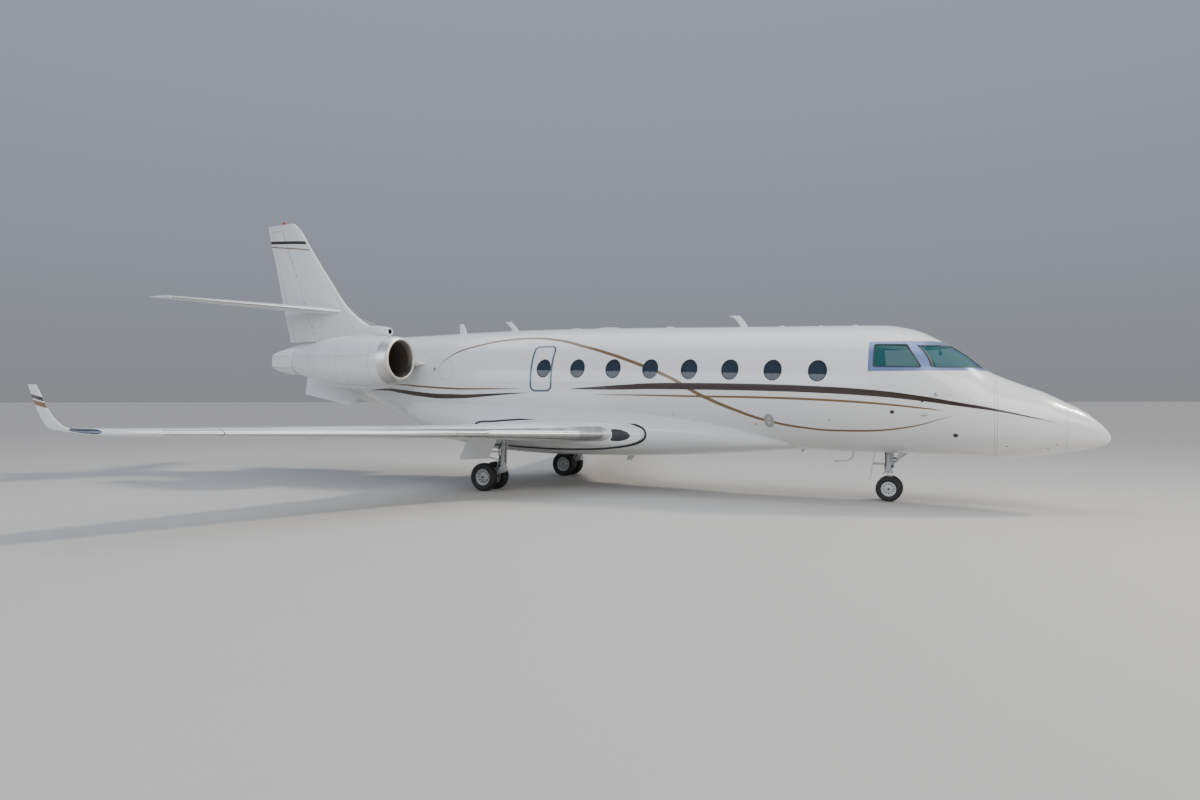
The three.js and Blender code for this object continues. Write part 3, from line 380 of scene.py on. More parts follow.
# station, height of the middle and half width of each painted stripe along the body
stripes = {
    "brown": [
        [(9362, 2037, 0), (9050, 2043, 16), (8606, 2052, 34), (8050, 2066, 50), (7530, 2080, 58), (6733, 2072, 64),
         (5713, 2050, 64), (4686, 2011, 61), (3573, 1937, 55), (2790, 1842, 44), (2282, 1757, 34), (1690, 1656, 22),
         (1194, 1545, 11), (763, 1433, 0)],
        [(14900, 2035, 0), (14659, 2049, 8), (14147, 2054, 24), (13704, 2014, 40), (13081, 1944, 50), (12488, 1898, 52),
         (11946, 1895, 44), (11140, 1928, 26), (10641, 1951, 14), (10134, 1968, 0)],
    ],
    "gold": [
        [(8800, 1924, 0), (8614, 1921, 6), (7660, 1908, 14), (6739, 1887, 19), (5626, 1867, 21), (4689, 1836, 22),
         (3575, 1767, 20), (2791, 1685, 14), (2400, 1634, 0)],
        [(12560, 2590, 0), (12400, 2700, 14), (12074, 2885, 20), (11597, 3008, 22), (11141, 3085, 22),
         (10480, 3122, 22), (9819, 3064, 24), (9145, 2912, 28), (8535, 2746, 31), (7915, 2541, 34),
         (7400, 2345, 35), (6988, 2154, 36), (6734, 2000, 37), (6413, 1841, 36), (5921, 1635, 31), (5323, 1438, 25),
         (4733, 1328, 20), (4153, 1284, 18), (3598, 1289, 17), (3061, 1350, 14), (2536, 1488, 8), (2238, 1589, 0)],
        [(14000, 2150, 0), (13674, 2161, 10), (13052, 2117, 20), (12458, 2080, 22), (11922, 2055, 20),
         (11125, 2052, 14), (10300, 2051, 0)],
    ],
}
heightBase, heightSpan, lengthSpan, widthSpan = 0.8, 2.6, 19.0, 0.1
bodyLines = {  # in metres, with stations aft of the nose tip
    "rings": (1.662, 1.702, 15.3, 17.0), "ringHalf": 0.0022,
    "tailSeam": {"height": 2.82, "middle": 13.95, "half": 1.05},
    "cover": {"station": 12.34, "height": 2.45, "radius": 0.2},
    "frame": {"height": 2.563, "half": 0.258, "end": 3.625},
    "exit": {"axis": 2.166, "radius": 1.16, "station": 9.95, "arc": 0.324, "long": 0.238, "high": 0.486,
             "corner": 0.11, "band": 0.02},
}


def curveOf(tree, points):
    node = addNode(tree, "ShaderNodeFloatCurve")
    curve = node.mapping.curves[0]
    for _ in range(len(points) - 2):
        curve.points.new(0.5, 0.5)
    for point, (x, y) in zip(curve.points, sorted(points)):
        point.location = (x, y)
        point.handle_type = "AUTO_CLAMPED"
    node.mapping.update()
    return node


def stripeMask(tree, along, height, points):
    share = [station * mm / lengthSpan for station, _, _ in points]
    middle = curveOf(tree, [(s, (z * mm - heightBase) / heightSpan) for s, (_, z, _) in zip(share, points)])
    width = curveOf(tree, [(s, w * mm / widthSpan) for s, (_, _, w) in zip(share, points)])
    scaled = maths(tree, "DIVIDE", along, lengthSpan)
    wire(tree, scaled, middle.inputs["Value"])
    wire(tree, scaled, width.inputs["Value"])
    centre = maths(tree, "MULTIPLY_ADD", middle.outputs[0], heightSpan, heightBase)
    half = maths(tree, "MULTIPLY", width.outputs[0], widthSpan)
    away = maths(tree, "ABSOLUTE", maths(tree, "SUBTRACT", height, centre))
    inside = maths(tree, "SUBTRACT", half, away)
    edge = addNode(tree, "ShaderNodeMapRange", {"From Min": 0.0, "From Max": 0.002})
    wire(tree, inside, edge.inputs["Value"])
    return edge.outputs["Result"]


def makeBodyMarks():
    tree, _, out = newGroup("body marks", [], [
        ("Brown", "NodeSocketFloat"), ("Gold", "NodeSocketFloat"), ("Seam", "NodeSocketFloat"),
        ("Frame", "NodeSocketFloat"), ("Exit", "NodeSocketFloat"), ("BellyShade", "NodeSocketFloat")])
    along, y, z = bodyAxes(tree)
    for key, label in (("brown", "Brown"), ("gold", "Gold")):
        total = None
        for points in stripes[key]:
            mask = stripeMask(tree, along, z, points)
            total = mask if total is None else maths(tree, "MAXIMUM", total, mask)
        wire(tree, total, out.inputs[label])
    seams = None
    for station in bodyLines["rings"]:
        line = within(tree, along, station, bodyLines["ringHalf"], bodyLines["ringHalf"])
        seams = line if seams is None else maths(tree, "MAXIMUM", seams, line)
    seam, cover, frameBand, door = (bodyLines[key] for key in ("tailSeam", "cover", "frame", "exit"))
    line = within(tree, z, seam["height"], 0.0015, 0.0015)
    reach = within(tree, along, seam["middle"], seam["half"], 0.002)
    seams = maths(tree, "MAXIMUM", seams, maths(tree, "MULTIPLY", line, reach))
    squares = [maths(tree, "POWER", maths(tree, "SUBTRACT", value, centre), 2.0)
               for value, centre in ((along, cover["station"]), (z, cover["height"]))]
    ringed = maths(tree, "SQRT", maths(tree, "ADD", *squares))
    seams = maths(tree, "MAXIMUM", seams, within(tree, ringed, cover["radius"], 0.003, 0.002))
    wire(tree, seams, out.inputs["Seam"])
    # the windscreen frame band, real metal whose blue colour is a painted sky reflection
    rise = within(tree, z, frameBand["height"], frameBand["half"], 0.004)
    front = maths(tree, "LESS_THAN", along, frameBand["end"])
    wire(tree, maths(tree, "MULTIPLY", rise, front), out.inputs["Frame"])
    turned = maths(tree, "ARCTAN2", maths(tree, "SUBTRACT", z, door["axis"]), maths(tree, "ABSOLUTE", y))
    arc = maths(tree, "MULTIPLY", turned, door["radius"])
    corner = door["corner"]  # the exit's outline is the distance to a rounded rectangle
    past = [maths(tree, "SUBTRACT", maths(tree, "ABSOLUTE", maths(tree, "SUBTRACT", value, centre)), half - corner)
            for value, centre, half in ((along, door["station"], door["long"]), (arc, door["arc"], door["high"]))]
    squares = [maths(tree, "POWER", maths(tree, "MAXIMUM", value, 0.0), 2.0) for value in past]
    outside = maths(tree, "SQRT", maths(tree, "ADD", *squares))
    inside = maths(tree, "MINIMUM", maths(tree, "MAXIMUM", *past), 0.0)
    distance = maths(tree, "SUBTRACT", maths(tree, "ADD", outside, inside), corner)
    band = within(tree, distance, 0.0, door["band"], 0.003)
    wire(tree, maths(tree, "MULTIPLY", band, maths(tree, "LESS_THAN", y, 0.0)), out.inputs["Exit"])
    # painted shade: noisy streaks that grow towards the belly, darkening the paint low on the body and warming it like
    # a painted ground reflection
    streak = addNode(tree, "ShaderNodeTexNoise", {"Scale": 1.0, "Detail": 6})
    stretch = addNode(tree, "ShaderNodeMapping", {"Scale": (0.7, 4.0, 2.5)})
    wire(tree, objectPlace(tree), stretch.inputs["Vector"])
    wire(tree, stretch.outputs[0], streak.inputs["Vector"])
    low = addNode(tree, "ShaderNodeMapRange", {"From Min": 1.8, "From Max": 0.8})
    wire(tree, z, low.inputs["Value"])
    wire(tree, maths(tree, "MULTIPLY", low.outputs[0], streak.outputs["Fac"]), out.inputs["BellyShade"])
    return tree


bodyMarks = makeBodyMarks()
paintWhite = (0.80, 0.80, 0.79)
brown = (0.034, 0.020, 0.014)
gold = (0.19, 0.105, 0.036)


def paintMaterial(name, marks=None):
    material, tree, shader = startMaterial(name)
    wear, tone = wearOn(tree, shader, paintWhite, 1.3, 90.0, 0.05, 0.10, 0.26)
    masks = useGroup(tree, marks).outputs if marks else {}
    for label, share, colour, metallic in (
            # the first mark mixes a warm grey in low on the body: painted shade with a warm painted ground reflection
            ("BellyShade", 0.35, (0.45, 0.42, 0.38), 0), ("Gold", 1, gold, 0), ("Brown", 1, brown, 0),
            # the frame band's blue is a painted sky reflection on its metal
            ("Frame", 1, (0.19, 0.28, 0.52), 0.55), ("Exit", 1, (0.075, 0.115, 0.175), 0),
            ("Seam", 0.6, (0.12, 0.12, 0.12), 0)):
        if label in masks.keys():
            mask = masks[label] if share == 1 else maths(tree, "MULTIPLY", masks[label], share)
            tone = mixColour(tree, mask, tone, colour)
            if metallic:
                wire(tree, maths(tree, "MULTIPLY", mask, float(metallic)), shader.inputs["Metallic"])
    wire(tree, tone, shader.inputs["Base Color"])
    bumpOn(tree, shader, wear, 0.012)
    shader.inputs["Coat Weight"].default_value = 0.55
    shader.inputs["Coat Roughness"].default_value = 0.05
    return material


bodyPaint = paintMaterial("bodyPaint", bodyMarks)
whitePaint = paintMaterial("whitePaint")
lining = plainMaterial("lining", (0.62, 0.58, 0.52), gloss=0.6, tint=0.12, scale=6, grain=400)
rubber = plainMaterial("rubber", (0.018, 0.018, 0.019), gloss=0.6, scale=20, tint=0.4, bump=0.05)
sealDark = plainMaterial("sealDark", (0.02, 0.021, 0.024), gloss=0.45, scale=30, tint=0.3)
glassBlue = plainMaterial("cabinGlass", (0.020, 0.034, 0.055), gloss=0.05, scale=8, tint=0.5, bump=0, coat=0.6,
                          alpha=0.72)
glassTeal = plainMaterial("cockpitGlass", (0.02, 0.20, 0.22), gloss=0.04, scale=2, tint=0.35, bump=0, coat=0.6,
                          alpha=0.27)
brightMetal = plainMaterial("brightMetal", (0.74, 0.73, 0.71), gloss=0.16, metallic=1.0, scale=4, tint=0.12, bump=0.01)
softMetal = plainMaterial("softMetal", (0.52, 0.52, 0.51), gloss=0.38, metallic=1.0, scale=10, tint=0.25, bump=0.05)
darkMetal = plainMaterial("darkMetal", (0.075, 0.075, 0.08), gloss=0.45, metallic=0.8, scale=12, tint=0.5, bump=0.06)
gearPaint = plainMaterial("gearPaint", (0.56, 0.57, 0.57), gloss=0.35, scale=14, tint=0.3, bump=0.04, coat=0.3)
chrome = plainMaterial("chrome", (0.82, 0.82, 0.83), gloss=0.07, metallic=1.0, scale=8, tint=0.08, bump=0)
blackPlastic = plainMaterial("blackPlastic", (0.028, 0.029, 0.032), gloss=0.5, scale=15, tint=0.4, bump=0.04)
leather = plainMaterial("leather", (0.60, 0.52, 0.40), gloss=0.42, scale=9, tint=0.16, grain=260, bump=0.25)
seatBlue = plainMaterial("seatBlue", (0.045, 0.085, 0.19), gloss=0.6, scale=12, tint=0.3, grain=300, bump=0.3)
carpet = plainMaterial("carpet", (0.20, 0.17, 0.14), gloss=0.95, scale=20, tint=0.4, grain=500, bump=0.6)
lampRed = plainMaterial("lampRed", (0.45, 0.02, 0.015), gloss=0.12, scale=12, tint=0.4, coat=0.8)
lampClear = plainMaterial("lampClear", (0.75, 0.78, 0.80), gloss=0.08, scale=12, tint=0.1, coat=0.8)
wellPaint = plainMaterial("wellPaint", (0.16, 0.165, 0.16), gloss=0.6, scale=8, tint=0.5, bump=0.05)
print("materials made")

# Body

bodySections = [  # station, crown, keel, half width, height of the widest line
    [0, 1205, 1205, 0, 1205], [20, 1270, 1142, 55, 1205], [67, 1340, 1090, 108, 1205], [168, 1450, 1055, 190, 1240],
    [420, 1660, 993, 345, 1300], [650, 1785, 952, 470, 1350], [950, 1945, 897, 625, 1410], [1300, 2085, 852, 745, 1470],
    [1811, 2331, 834, 880, 1560], [2124, 2595, 845, 945, 1640], [2521, 2851, 858, 1015, 1750],
    [2958, 3063, 860, 1075, 1870], [3424, 3155, 858, 1120, 1960], [4000, 3180, 862, 1150, 2012],
    [4900, 3205, 885, 1160, 2045], [11300, 3355, 1035, 1160, 2195], [12300, 3352, 1062, 1150, 2215],
    [13050, 3340, 1090, 1110, 2240], [13500, 3333, 1150, 1065, 2280], [14300, 3330, 1457, 950, 2400],
    [15150, 3325, 1814, 805, 2560], [15800, 3320, 2060, 690, 2660], [16400, 3312, 2175, 575, 2740],
    [17400, 3280, 2370, 390, 2830], [18130, 3200, 2560, 255, 2880], [18640, 3040, 2690, 150, 2865],
]
body = {
    "wall": 70, "radomeEnd": 650, "cockpitFront": 1900, "cabinEnd": 11200, "mainEnd": 11300, "tailEnd": 18640,
    "aftWall": 45, "aftHollowEnd": 15000, "columns": 144, "step": 62, "seam": 1.5,
}
windows = {"stations": [4447, 5226, 6005, 6784, 7563, 8342, 9121, 9895], "width": 320, "height": 370, "above": 295}
doors = {
    "entry": {"from": 3740, "to": 4560, "low": -43, "high": 40, "side": 1, "corner": 90},
    "exit": {"from": 9712, "to": 10188, "low": -8, "high": 40, "side": -1, "corner": 110},
    "baggage": {"from": 12050, "to": 12850, "low": -18, "high": 22, "side": 1, "corner": 60},
}
noseWell = {"front": 2.72, "back": 3.72, "foot": 0.7, "top": 1.12, "half": 0.15}  # in metres
sidePane = [(3545, 2380), (2772, 2357), (3022, 2770), (3545, 2780)]
frontPane = [(50, 2342), (898, 2355), (695, 2750), (50, 2757)]
paneCorner = 34


def sectionAt(station):  # crown, keel, half width and middle, in millimetres
    return smoothRows(bodySections, station, 200).T


def bodyRings(stations, grow=0.0, columns=144):
    crown, keel, half, middle = sectionAt(stations)
    angle = (np.arange(columns) + 0.5) * 2 * math.pi / columns
    reach = np.where(np.sin(angle)[None] > 0, (crown - middle)[:, None], (middle - keel)[:, None]) + grow
    y = (half + grow)[:, None] * np.cos(angle)[None]
    z = middle[:, None] + reach * np.sin(angle)[None]
    x = np.broadcast_to(alongX(stations)[:, None], y.shape)
    return np.stack([x, y * mm, z * mm], axis=2)


def bodyField(points, grow=0.0):  # below 1 inside the body
    station = (noseX - points[:, 0]) / mm
    crown, keel, half, middle = sectionAt(np.clip(station, 0, 18640))
    z = points[:, 2] / mm - middle
    reach = np.where(z > 0, crown - middle, middle - keel) + grow
    half, reach = np.maximum(half + grow, 0.5), np.maximum(reach, 0.5)
    return (points[:, 1] / mm / half) ** 2 + (z / reach) ** 2


def bodyNormal(points):
    step = 2e-3
    grad = np.empty_like(points)
    for k in range(3):
        offset = np.zeros(3)
        offset[k] = step
        grad[:, k] = bodyField(points + offset) - bodyField(points - offset)
    return grad / np.linalg.norm(grad, axis=1, keepdims=True)


def sideY(station, height, depth=0.0):
    crown, keel, half, middle = sectionAt(station)
    up = np.asarray(height, float) - middle
    reach = np.where(up > 0, crown - middle, middle - keel) - depth
    return (half - depth) * np.sqrt(np.clip(1 - (up / reach) ** 2, 0, None))


def onSide(station, height, side, depth=0.0):
    station = np.atleast_1d(np.asarray(station, float))
    height = np.broadcast_to(np.asarray(height, float), station.shape)
    return np.stack([alongX(station), side * sideY(station, height, depth) * mm, height * mm], axis=1)


def onFront(across, height, depth=0.0):  # found by halving the span of stations
    across = np.atleast_1d(np.asarray(across, float))
    height = np.broadcast_to(np.asarray(height, float), across.shape)
    a, b = np.full(across.shape, 1500.0), np.full(across.shape, 3300.0)
    for _ in range(40):
        mid = (a + b) / 2
        crown, keel, half, middle = sectionAt(mid)
        up = height - middle
        reach = np.where(up > 0, crown - middle, middle - keel) - depth
        inside = (across / (half - depth)) ** 2 + (up / reach) ** 2 < 1
        a, b = np.where(inside, a, mid), np.where(inside, mid, b)
    return np.stack([alongX(b), across * mm, height * mm], axis=1)


def trueNormals(piece):  # the skin keeps the normals of the whole body, so cuts don't dent its shine
    mesh = piece.data
    corner = np.empty(len(mesh.loops), int)
    mesh.loops.foreach_get("vertex_index", corner)
    total = np.empty(len(mesh.polygons), int)
    mesh.polygons.foreach_get("loop_total", total)
    flat = vectorsOf(mesh.polygons, "normal")[np.repeat(np.arange(len(total)), total)]
    points = vectorsOf(mesh.vertices, "co")[corner]
    normal = bodyNormal(points)
    skin = (np.einsum("ij,ij->i", normal, flat) > 0.94) & (bodyField(points) > 0.985)
    mesh.normals_split_custom_set(np.where(skin[:, None], normal, flat).tolist())
    return piece


def stationSteps(start, end, step):
    return np.linspace(start, end, max(2, int(round((end - start) / step)) + 1))


def sectorCutter(door, grow):  # ruled block through the wall, with rounded corners
    a, b = door["from"] - grow, door["to"] + grow
    middle = (door["from"] + door["to"]) / 2
    axis = sectionAt([middle])[3][0]
    radius = 1160
    low, high = radius * math.radians(door["low"]) - grow, radius * math.radians(door["high"]) + grow
    corner = max(door["corner"] + grow, 5)
    outline = roundedOutline([(a, low), (b, low), (b, high), (a, high)], corner, 8)
    inner, outer = 200, 1900  # the block starts and ends well off the wall
    rings = []
    for share in (0.28, 1.0):
        ring = []
        for station, arc in outline:
            angle = arc / radius
            ring.append((noseX - station * mm, door["side"] * (inner + (outer * math.cos(angle) - inner) * share) * mm,
                         (axis + outer * math.sin(angle) * share) * mm))
        rings.append(ring)
    return loftMesh(rings)


def windowCutter(station, side):
    centre = sectionAt([station])[3][0] + windows["above"]
    outline = ovalOutline(noseX - station * mm, centre * mm, windows["width"] / 2 * mm,
                          windows["height"] / 2 * mm, 48)
    return prism(outline, "y", side * 0.7, side * 1.4)


def paneCutter(outline, side, front):
    rounded = roundedOutline(outline, paneCorner, 6)
    if front:
        return prism([(side * y * mm, z * mm) for y, z in rounded], "x", noseX - 1.5, noseX - 3.3)
    return prism([(noseX - s * mm, z * mm) for s, z in rounded], "y", side * 0.6, side * 1.3)


def markLining(piece, wall):  # faces of the hollow take the second material
    mesh = piece.data
    inner = bodyField(vectorsOf(mesh.polygons, "center"), -wall * 0.6) < 1
    mesh.polygons.foreach_set("material_index", inner.astype(int))


def shellOf(name, stations, hollow, wall):
    piece = newPiece(name, loftMesh(bodyRings(stations, 0, body["columns"])), [bodyPaint, lining])
    return carved(piece, loftMesh(bodyRings(hollow, -wall, 96)))


def bodyPieces():
    nose = np.concatenate([[0.02], 650 * np.linspace(0.02, 1, 44) ** 2])
    nose[-1] = body["radomeEnd"] - body["seam"]
    radome = newPiece("radome_shell", loftMesh(bodyRings(nose, 0, body["columns"])), bodyPaint)
    carry(trueNormals(radome), "airframe", "radome", slot="white_paint")

    main = shellOf("cabin_shell", stationSteps(body["radomeEnd"] + body["seam"], body["mainEnd"], body["step"]),
                   stationSteps(body["cockpitFront"], body["cabinEnd"], 120), body["wall"])
    aft = shellOf("aft_shell", stationSteps(body["mainEnd"], body["tailEnd"], body["step"]),
                  stationSteps(body["mainEnd"] + 60, body["aftHollowEnd"], 120), body["aftWall"])
    slack = {"entry": 5, "exit": 3, "baggage": 5}
    panels = {}
    for key, source in (("entry", main), ("exit", main), ("baggage", aft)):
        panel = copyOf(source, key + "_panel")
        panels[key] = carved(panel, sectorCutter(doors[key], 0), "INTERSECT")
    for side in (-1, 1):
        for i, station in enumerate(windows["stations"]):
            if side > 0 and i == 0:
                continue
            carved(main, windowCutter(station, side))
            if i == 7 and side < 0:
                carved(panels["exit"], windowCutter(station, side))
        carved(main, paneCutter(frontPane, side, True))
        carved(main, paneCutter(sidePane, side, False))
    carved(main, sectorCutter(doors["entry"], slack["entry"]))
    carved(main, sectorCutter(doors["exit"], slack["exit"]))
    carved(aft, sectorCutter(doors["baggage"], slack["baggage"]))
    front, back = noseX - noseWell["front"], noseX - noseWell["back"]
    well = [(back, noseWell["foot"]), (front, noseWell["foot"]), (front, noseWell["top"]), (back, noseWell["top"])]
    carved(main, prism(well, "y", -noseWell["half"], noseWell["half"]))
    for piece, wall in ((main, body["wall"]), (aft, body["aftWall"]), (panels["entry"], body["wall"]),
                        (panels["exit"], body["wall"]), (panels["baggage"], body["aftWall"])):
        markLining(piece, wall)
        trueNormals(piece)
    carry(main, "airframe", "fuselage", slot="white_paint")
    carry(aft, "airframe", "aft_fuselage", slot="white_paint")
    carry(panels["entry"], "entry_door", "entry_door", slot="white_paint")
    carry(panels["exit"], "airframe", "overwing_exit", slot="white_paint")
    carry(panels["baggage"], "baggage_door", "baggage_door", slot="white_paint")


def bandAlong(outline, section, place):  # a closed section carried round a closed outline
    outline = np.array(outline, float)
    before, after = np.roll(outline, 1, axis=0), np.roll(outline, -1, axis=0)
    tangent = after - before
    tangent /= np.linalg.norm(tangent, axis=1, keepdims=True)
    normal = np.stack([tangent[:, 1], -tangent[:, 0]], axis=1)
    area = np.sum(outline[:, 0] * after[:, 1] - after[:, 0] * outline[:, 1])
    if area < 0:
        normal = -normal
    rings = np.stack([place(*(outline + normal * out).T, depth) for out, depth in section])
    return meshFrom(rings.reshape(-1, 3), loopFaces(*rings.shape[:2]))


def paneOf(outline, place, depth, thick, rings=5):
    outline = np.array(outline, float)
    middle = outline.mean(axis=0)
    layers = []
    for depthHere, shares in ((depth, np.linspace(0.02, 1, rings)), (depth + thick, np.linspace(1, 0.02, rings))):
        for share in shares:
            layers.append(place(*(middle + (outline - middle) * share).T, depthHere))
    return loftMesh(np.stack(layers))


def ovalPoints(station, scale=1.0):
    centre = sectionAt([station])[3][0] + windows["above"]
    return ovalOutline(station, centre, windows["width"] / 2 * scale, windows["height"] / 2 * scale, 56)


def sidePlace(side):
    return lambda s, z, depth: onSide(s, z, side, depth)


def frontPlace(side):
    def place(y, z, depth):
        points = onFront(y, z, depth)
        points[:, 1] *= side
        return points
    return place


def windowPieces():
    gasket = [(1, -2.5), (5, 1), (5, 20), (-7, 20), (-9, 8), (-4, -1)]
    liner = [(-6, 22), (-2, 22), (-1, 69), (-4, 69)]
    for side, sideName in ((-1, "right"), (1, "left")):
        place = sidePlace(side)
        rims, linings, panes = [], [], []
        for i, station in enumerate(windows["stations"]):
            if side > 0 and i == 0:
                continue
            outline = ovalPoints(station)
            rims.append(bandAlong(outline, gasket, place))
            linings.append(bandAlong(outline, liner, place))
            panes.append(paneOf(ovalPoints(station, 0.965), place, 12, 6))
        for name, meshes, material, slot in (("rims", rims, sealDark, "panel_black"),
                                             ("linings", linings, lining, "leather"),
                                             ("panes", panes, glassBlue, "glass")):
            dress(f"cabin_window_{name}_{sideName}", meshes, material, "airframe", slot=slot)
        for outline, front, node in ((sidePane, False, f"side_window_{sideName}"),
                                     (frontPane, True, f"windscreen_{sideName}")):
            place = frontPlace(side) if front else sidePlace(side)
            rounded = roundedOutline(outline, paneCorner, 8)
            dense = []
            for k, point in enumerate(rounded):
                other = rounded[(k + 1) % len(rounded)]
                pieces = max(1, int(math.dist(point, other) / 60))
                dense += [(point[0] + (other[0] - point[0]) * t / pieces, point[1] + (other[1] - point[1]) * t / pieces)
                          for t in range(pieces)]
            seal = bandAlong(dense, [(0, -1.5), (2, 1), (2, 26), (-20, 26), (-20, 2), (-14, -2)], place)
            dress(node + "_seal", seal, sealDark, "airframe", slot="panel_black")
            dress(node + "_pane", paneOf(dense, place, 8, 9, 9), glassTeal, "airframe", node, slot="glass")


bodyPieces()
windowPieces()
print("body made")


# Belly fairing

fairingSections = [  # station, bottom, half width, height of the widest line, upper edge
    [4850, 912, 300, 985, 1000], [5200, 868, 640, 1070, 1090], [5980, 800, 915, 1150, 1290],
    [6700, 745, 1060, 1220, 1430], [7460, 708, 1145, 1250, 1530], [8660, 665, 1205, 1280, 1640],
    [9900, 655, 1220, 1300, 1695], [11260, 700, 1215, 1350, 1745], [12300, 835, 1150, 1430, 1775],
    [13000, 985, 1060, 1540, 1790], [13600, 1195, 880, 1700, 1795],
]
fairingPower = 0.8


def fairingForm(station):  # bottom, half width, widest height, upper edge and its distance out
    bottom, half, widest, edge = smoothRows(fairingSections, station).T
    _, keel, bodyHalf, middle = sectionAt(station)
    drop = np.minimum(0.999, (middle - edge) / (middle - keel))
    return bottom, half, widest, edge, np.maximum(bodyHalf * np.sqrt(1 - drop ** 2) - 30, 20)


def fairingRings(stations):
    bottom, half, widest, edge, inside = (column[:, None] for column in fairingForm(stations))
    angle = math.pi + math.pi * np.arange(57)[None] / 56
    y = half * np.sign(np.cos(angle)) * np.abs(np.cos(angle)) ** fairingPower
    z = widest - (widest - bottom) * np.abs(np.sin(angle)) ** fairingPower
    t = np.linspace(0, 1, 11)[None, 1:]
    lift = widest + 0.5 * (edge - widest)
    sideUp = (1 - t) ** 2 * half + 2 * t * (1 - t) * (half - (half - inside) * 0.3) + t ** 2 * inside
    rise = (1 - t) ** 2 * widest + 2 * t * (1 - t) * lift + t ** 2 * (edge + 12)
    y = np.concatenate([y, sideUp, -sideUp[:, ::-1]], axis=1)
    z = np.concatenate([z, rise, rise[:, ::-1]], axis=1)
    x = np.broadcast_to(alongX(stations)[:, None], y.shape)
    return np.stack([x, y * mm, z * mm], axis=2)


def fairingPlace(side):  # points on the fairing's side from their station and height
    def place(station, height, depth):
        bottom, half, widest, edge, inside = fairingForm(station)
        height = np.asarray(height, float)
        down = np.clip((widest - height) / (widest - bottom), 0, 1) ** (1 / fairingPower)
        low = half * np.sqrt(1 - down ** 2) ** fairingPower
        share = np.sqrt(np.clip((height - widest) / (edge - widest), 0, 1) ** 1.35)
        high = half - (half - inside) * share ** 1.7
        y = np.where(height < widest, low, high) - depth
        return np.stack([alongX(station), side * y * mm, height * mm], axis=1)
    return place


def fairingPieces():
    stations = stationSteps(4850, 13600, 60)
    dress("belly_fairing_skin", loftMesh(fairingRings(stations)), bodyPaint, "airframe", "belly_fairing",
          slot="white_paint", angle=50)
    outline = [(7648, 1165), (7690, 1262), (7850, 1335), (8158, 1402), (8804, 1446), (9475, 1450), (10172, 1430),
               (11000, 1376), (11500, 1310)]
    under = [(11500, 905), (11000, 862), (10172, 820), (9475, 812), (8915, 829), (8586, 852), (8158, 908), (7850, 980),
             (7690, 1066)]
    for side, sideName in ((-1, "right"), (1, "left")):
        place = fairingPlace(side)
        loop = catmull(outline + under, True, 8)
        dress(f"wing_root_seal_{sideName}", bandAlong(loop, [(-18, -7), (18, -7), (18, 6), (-18, 6)], place),
              sealDark, "airframe", slot="panel_black")


def catmull(points, closed, steps):
    points = [np.array(p, float) for p in points]
    count = len(points)
    result = []
    for i in range(count if closed else count - 1):
        if closed:
            a, b, c, d = (points[(i + k - 1) % count] for k in range(4))
        else:
            a, b, c, d = (points[min(max(i + k - 1, 0), count - 1)] for k in range(4))
        for s in range(steps):
            t = s / steps
            result.append(tuple(0.5 * ((2 * b) + (c - a) * t + (2 * a - 5 * b + 4 * c - d) * t ** 2
                                       + (3 * b - a - 3 * c + d) * t ** 3)))
    if not closed:
        result.append(tuple(points[-1]))
    return result


# Wings

wingSections = [  # distance out, height, leading and trailing station, thickness, lean in degrees
    [1000, 1120, 7700, 11780, 478, 0], [1235, 1122, 7700, 11770, 478, 0], [1360, 1150, 8430, 11760, 392, 2],
    [3360, 1229, 9700, 11660, 235, 2], [8450, 1398, 11760, 12740, 105, 3], [8605, 1412, 12150, 12870, 86, 14],
    [8695, 1440, 12640, 13095, 56, 46], [8738, 1525, 12845, 13175, 40, 72], [8839, 2035, 13180, 13355, 22, 78],
]
wing = {
    "camber": 0.012, "edge": 2.5, "hinge": 0.75, "flap": [1420, 6050], "aileron": [6200, 8330], "swing": 6,
    "tracks": [2400, 3900, 5500], "tip": 4,
}


def profileHalf(share):
    share = np.asarray(share, float)
    return 5 * (0.2969 * np.sqrt(share) - share * (0.126 + share * (0.3516 - share * (0.2843 - 0.1036 * share))))


def wingRowAt(key):  # key runs along the rows of the table
    key = np.atleast_1d(np.asarray(key, float))
    rows = np.array(wingSections, float)
    straight = np.stack([np.interp(key, np.arange(9), rows[:, k]) for k in range(6)], axis=1)
    arc = np.concatenate([[0], np.cumsum(np.hypot(np.diff(rows[:, 0]), np.diff(rows[:, 1])))])
    curved = smoothRows(np.column_stack([arc[3:], rows[3:]]), np.interp(key, np.arange(9), arc))
    return np.where((key > wing["tip"])[:, None], curved, straight)


def wingKey(y):
    return float(np.interp(y, [r[0] for r in wingSections[:5]], np.arange(5)))


def wingSurface(row, side, share, sign, grow=0.0):
    y, z, lead, trail, thick, lean = row
    chord = trail - lead
    share = np.asarray(share, float)
    half = np.where(share == 0, 0, np.maximum(profileHalf(share) * thick, wing["edge"]))
    tilt = math.radians(lean)
    lift = sign * (half + grow) + wing["camber"] * chord * 4 * share * (1 - share) * math.cos(tilt)
    lead = lead - grow * np.clip(1 - share * 60, 0, 1)
    return np.stack([alongX(lead + share * (trail - lead)), side * (y - lift * math.sin(tilt)) * mm,
                     (z + lift * math.cos(tilt)) * mm], axis=-1)


def chordShares(end, nose=0.06, front=9, rear=22):
    first = nose * (1 - np.cos(np.linspace(0, math.pi / 2, front + 1)))
    second = nose + (end - nose) * (1 - np.cos(np.linspace(0, math.pi, rear + 1))) / 2
    return np.concatenate([first, second[1:]])


def foilRing(surface, end):
    shares = chordShares(end)
    return np.concatenate([surface(shares[::-1], 1), surface(shares[1:], -1)])


def noseRadius(row):
    return float(profileHalf(wing["hinge"])) * row[4] - 1


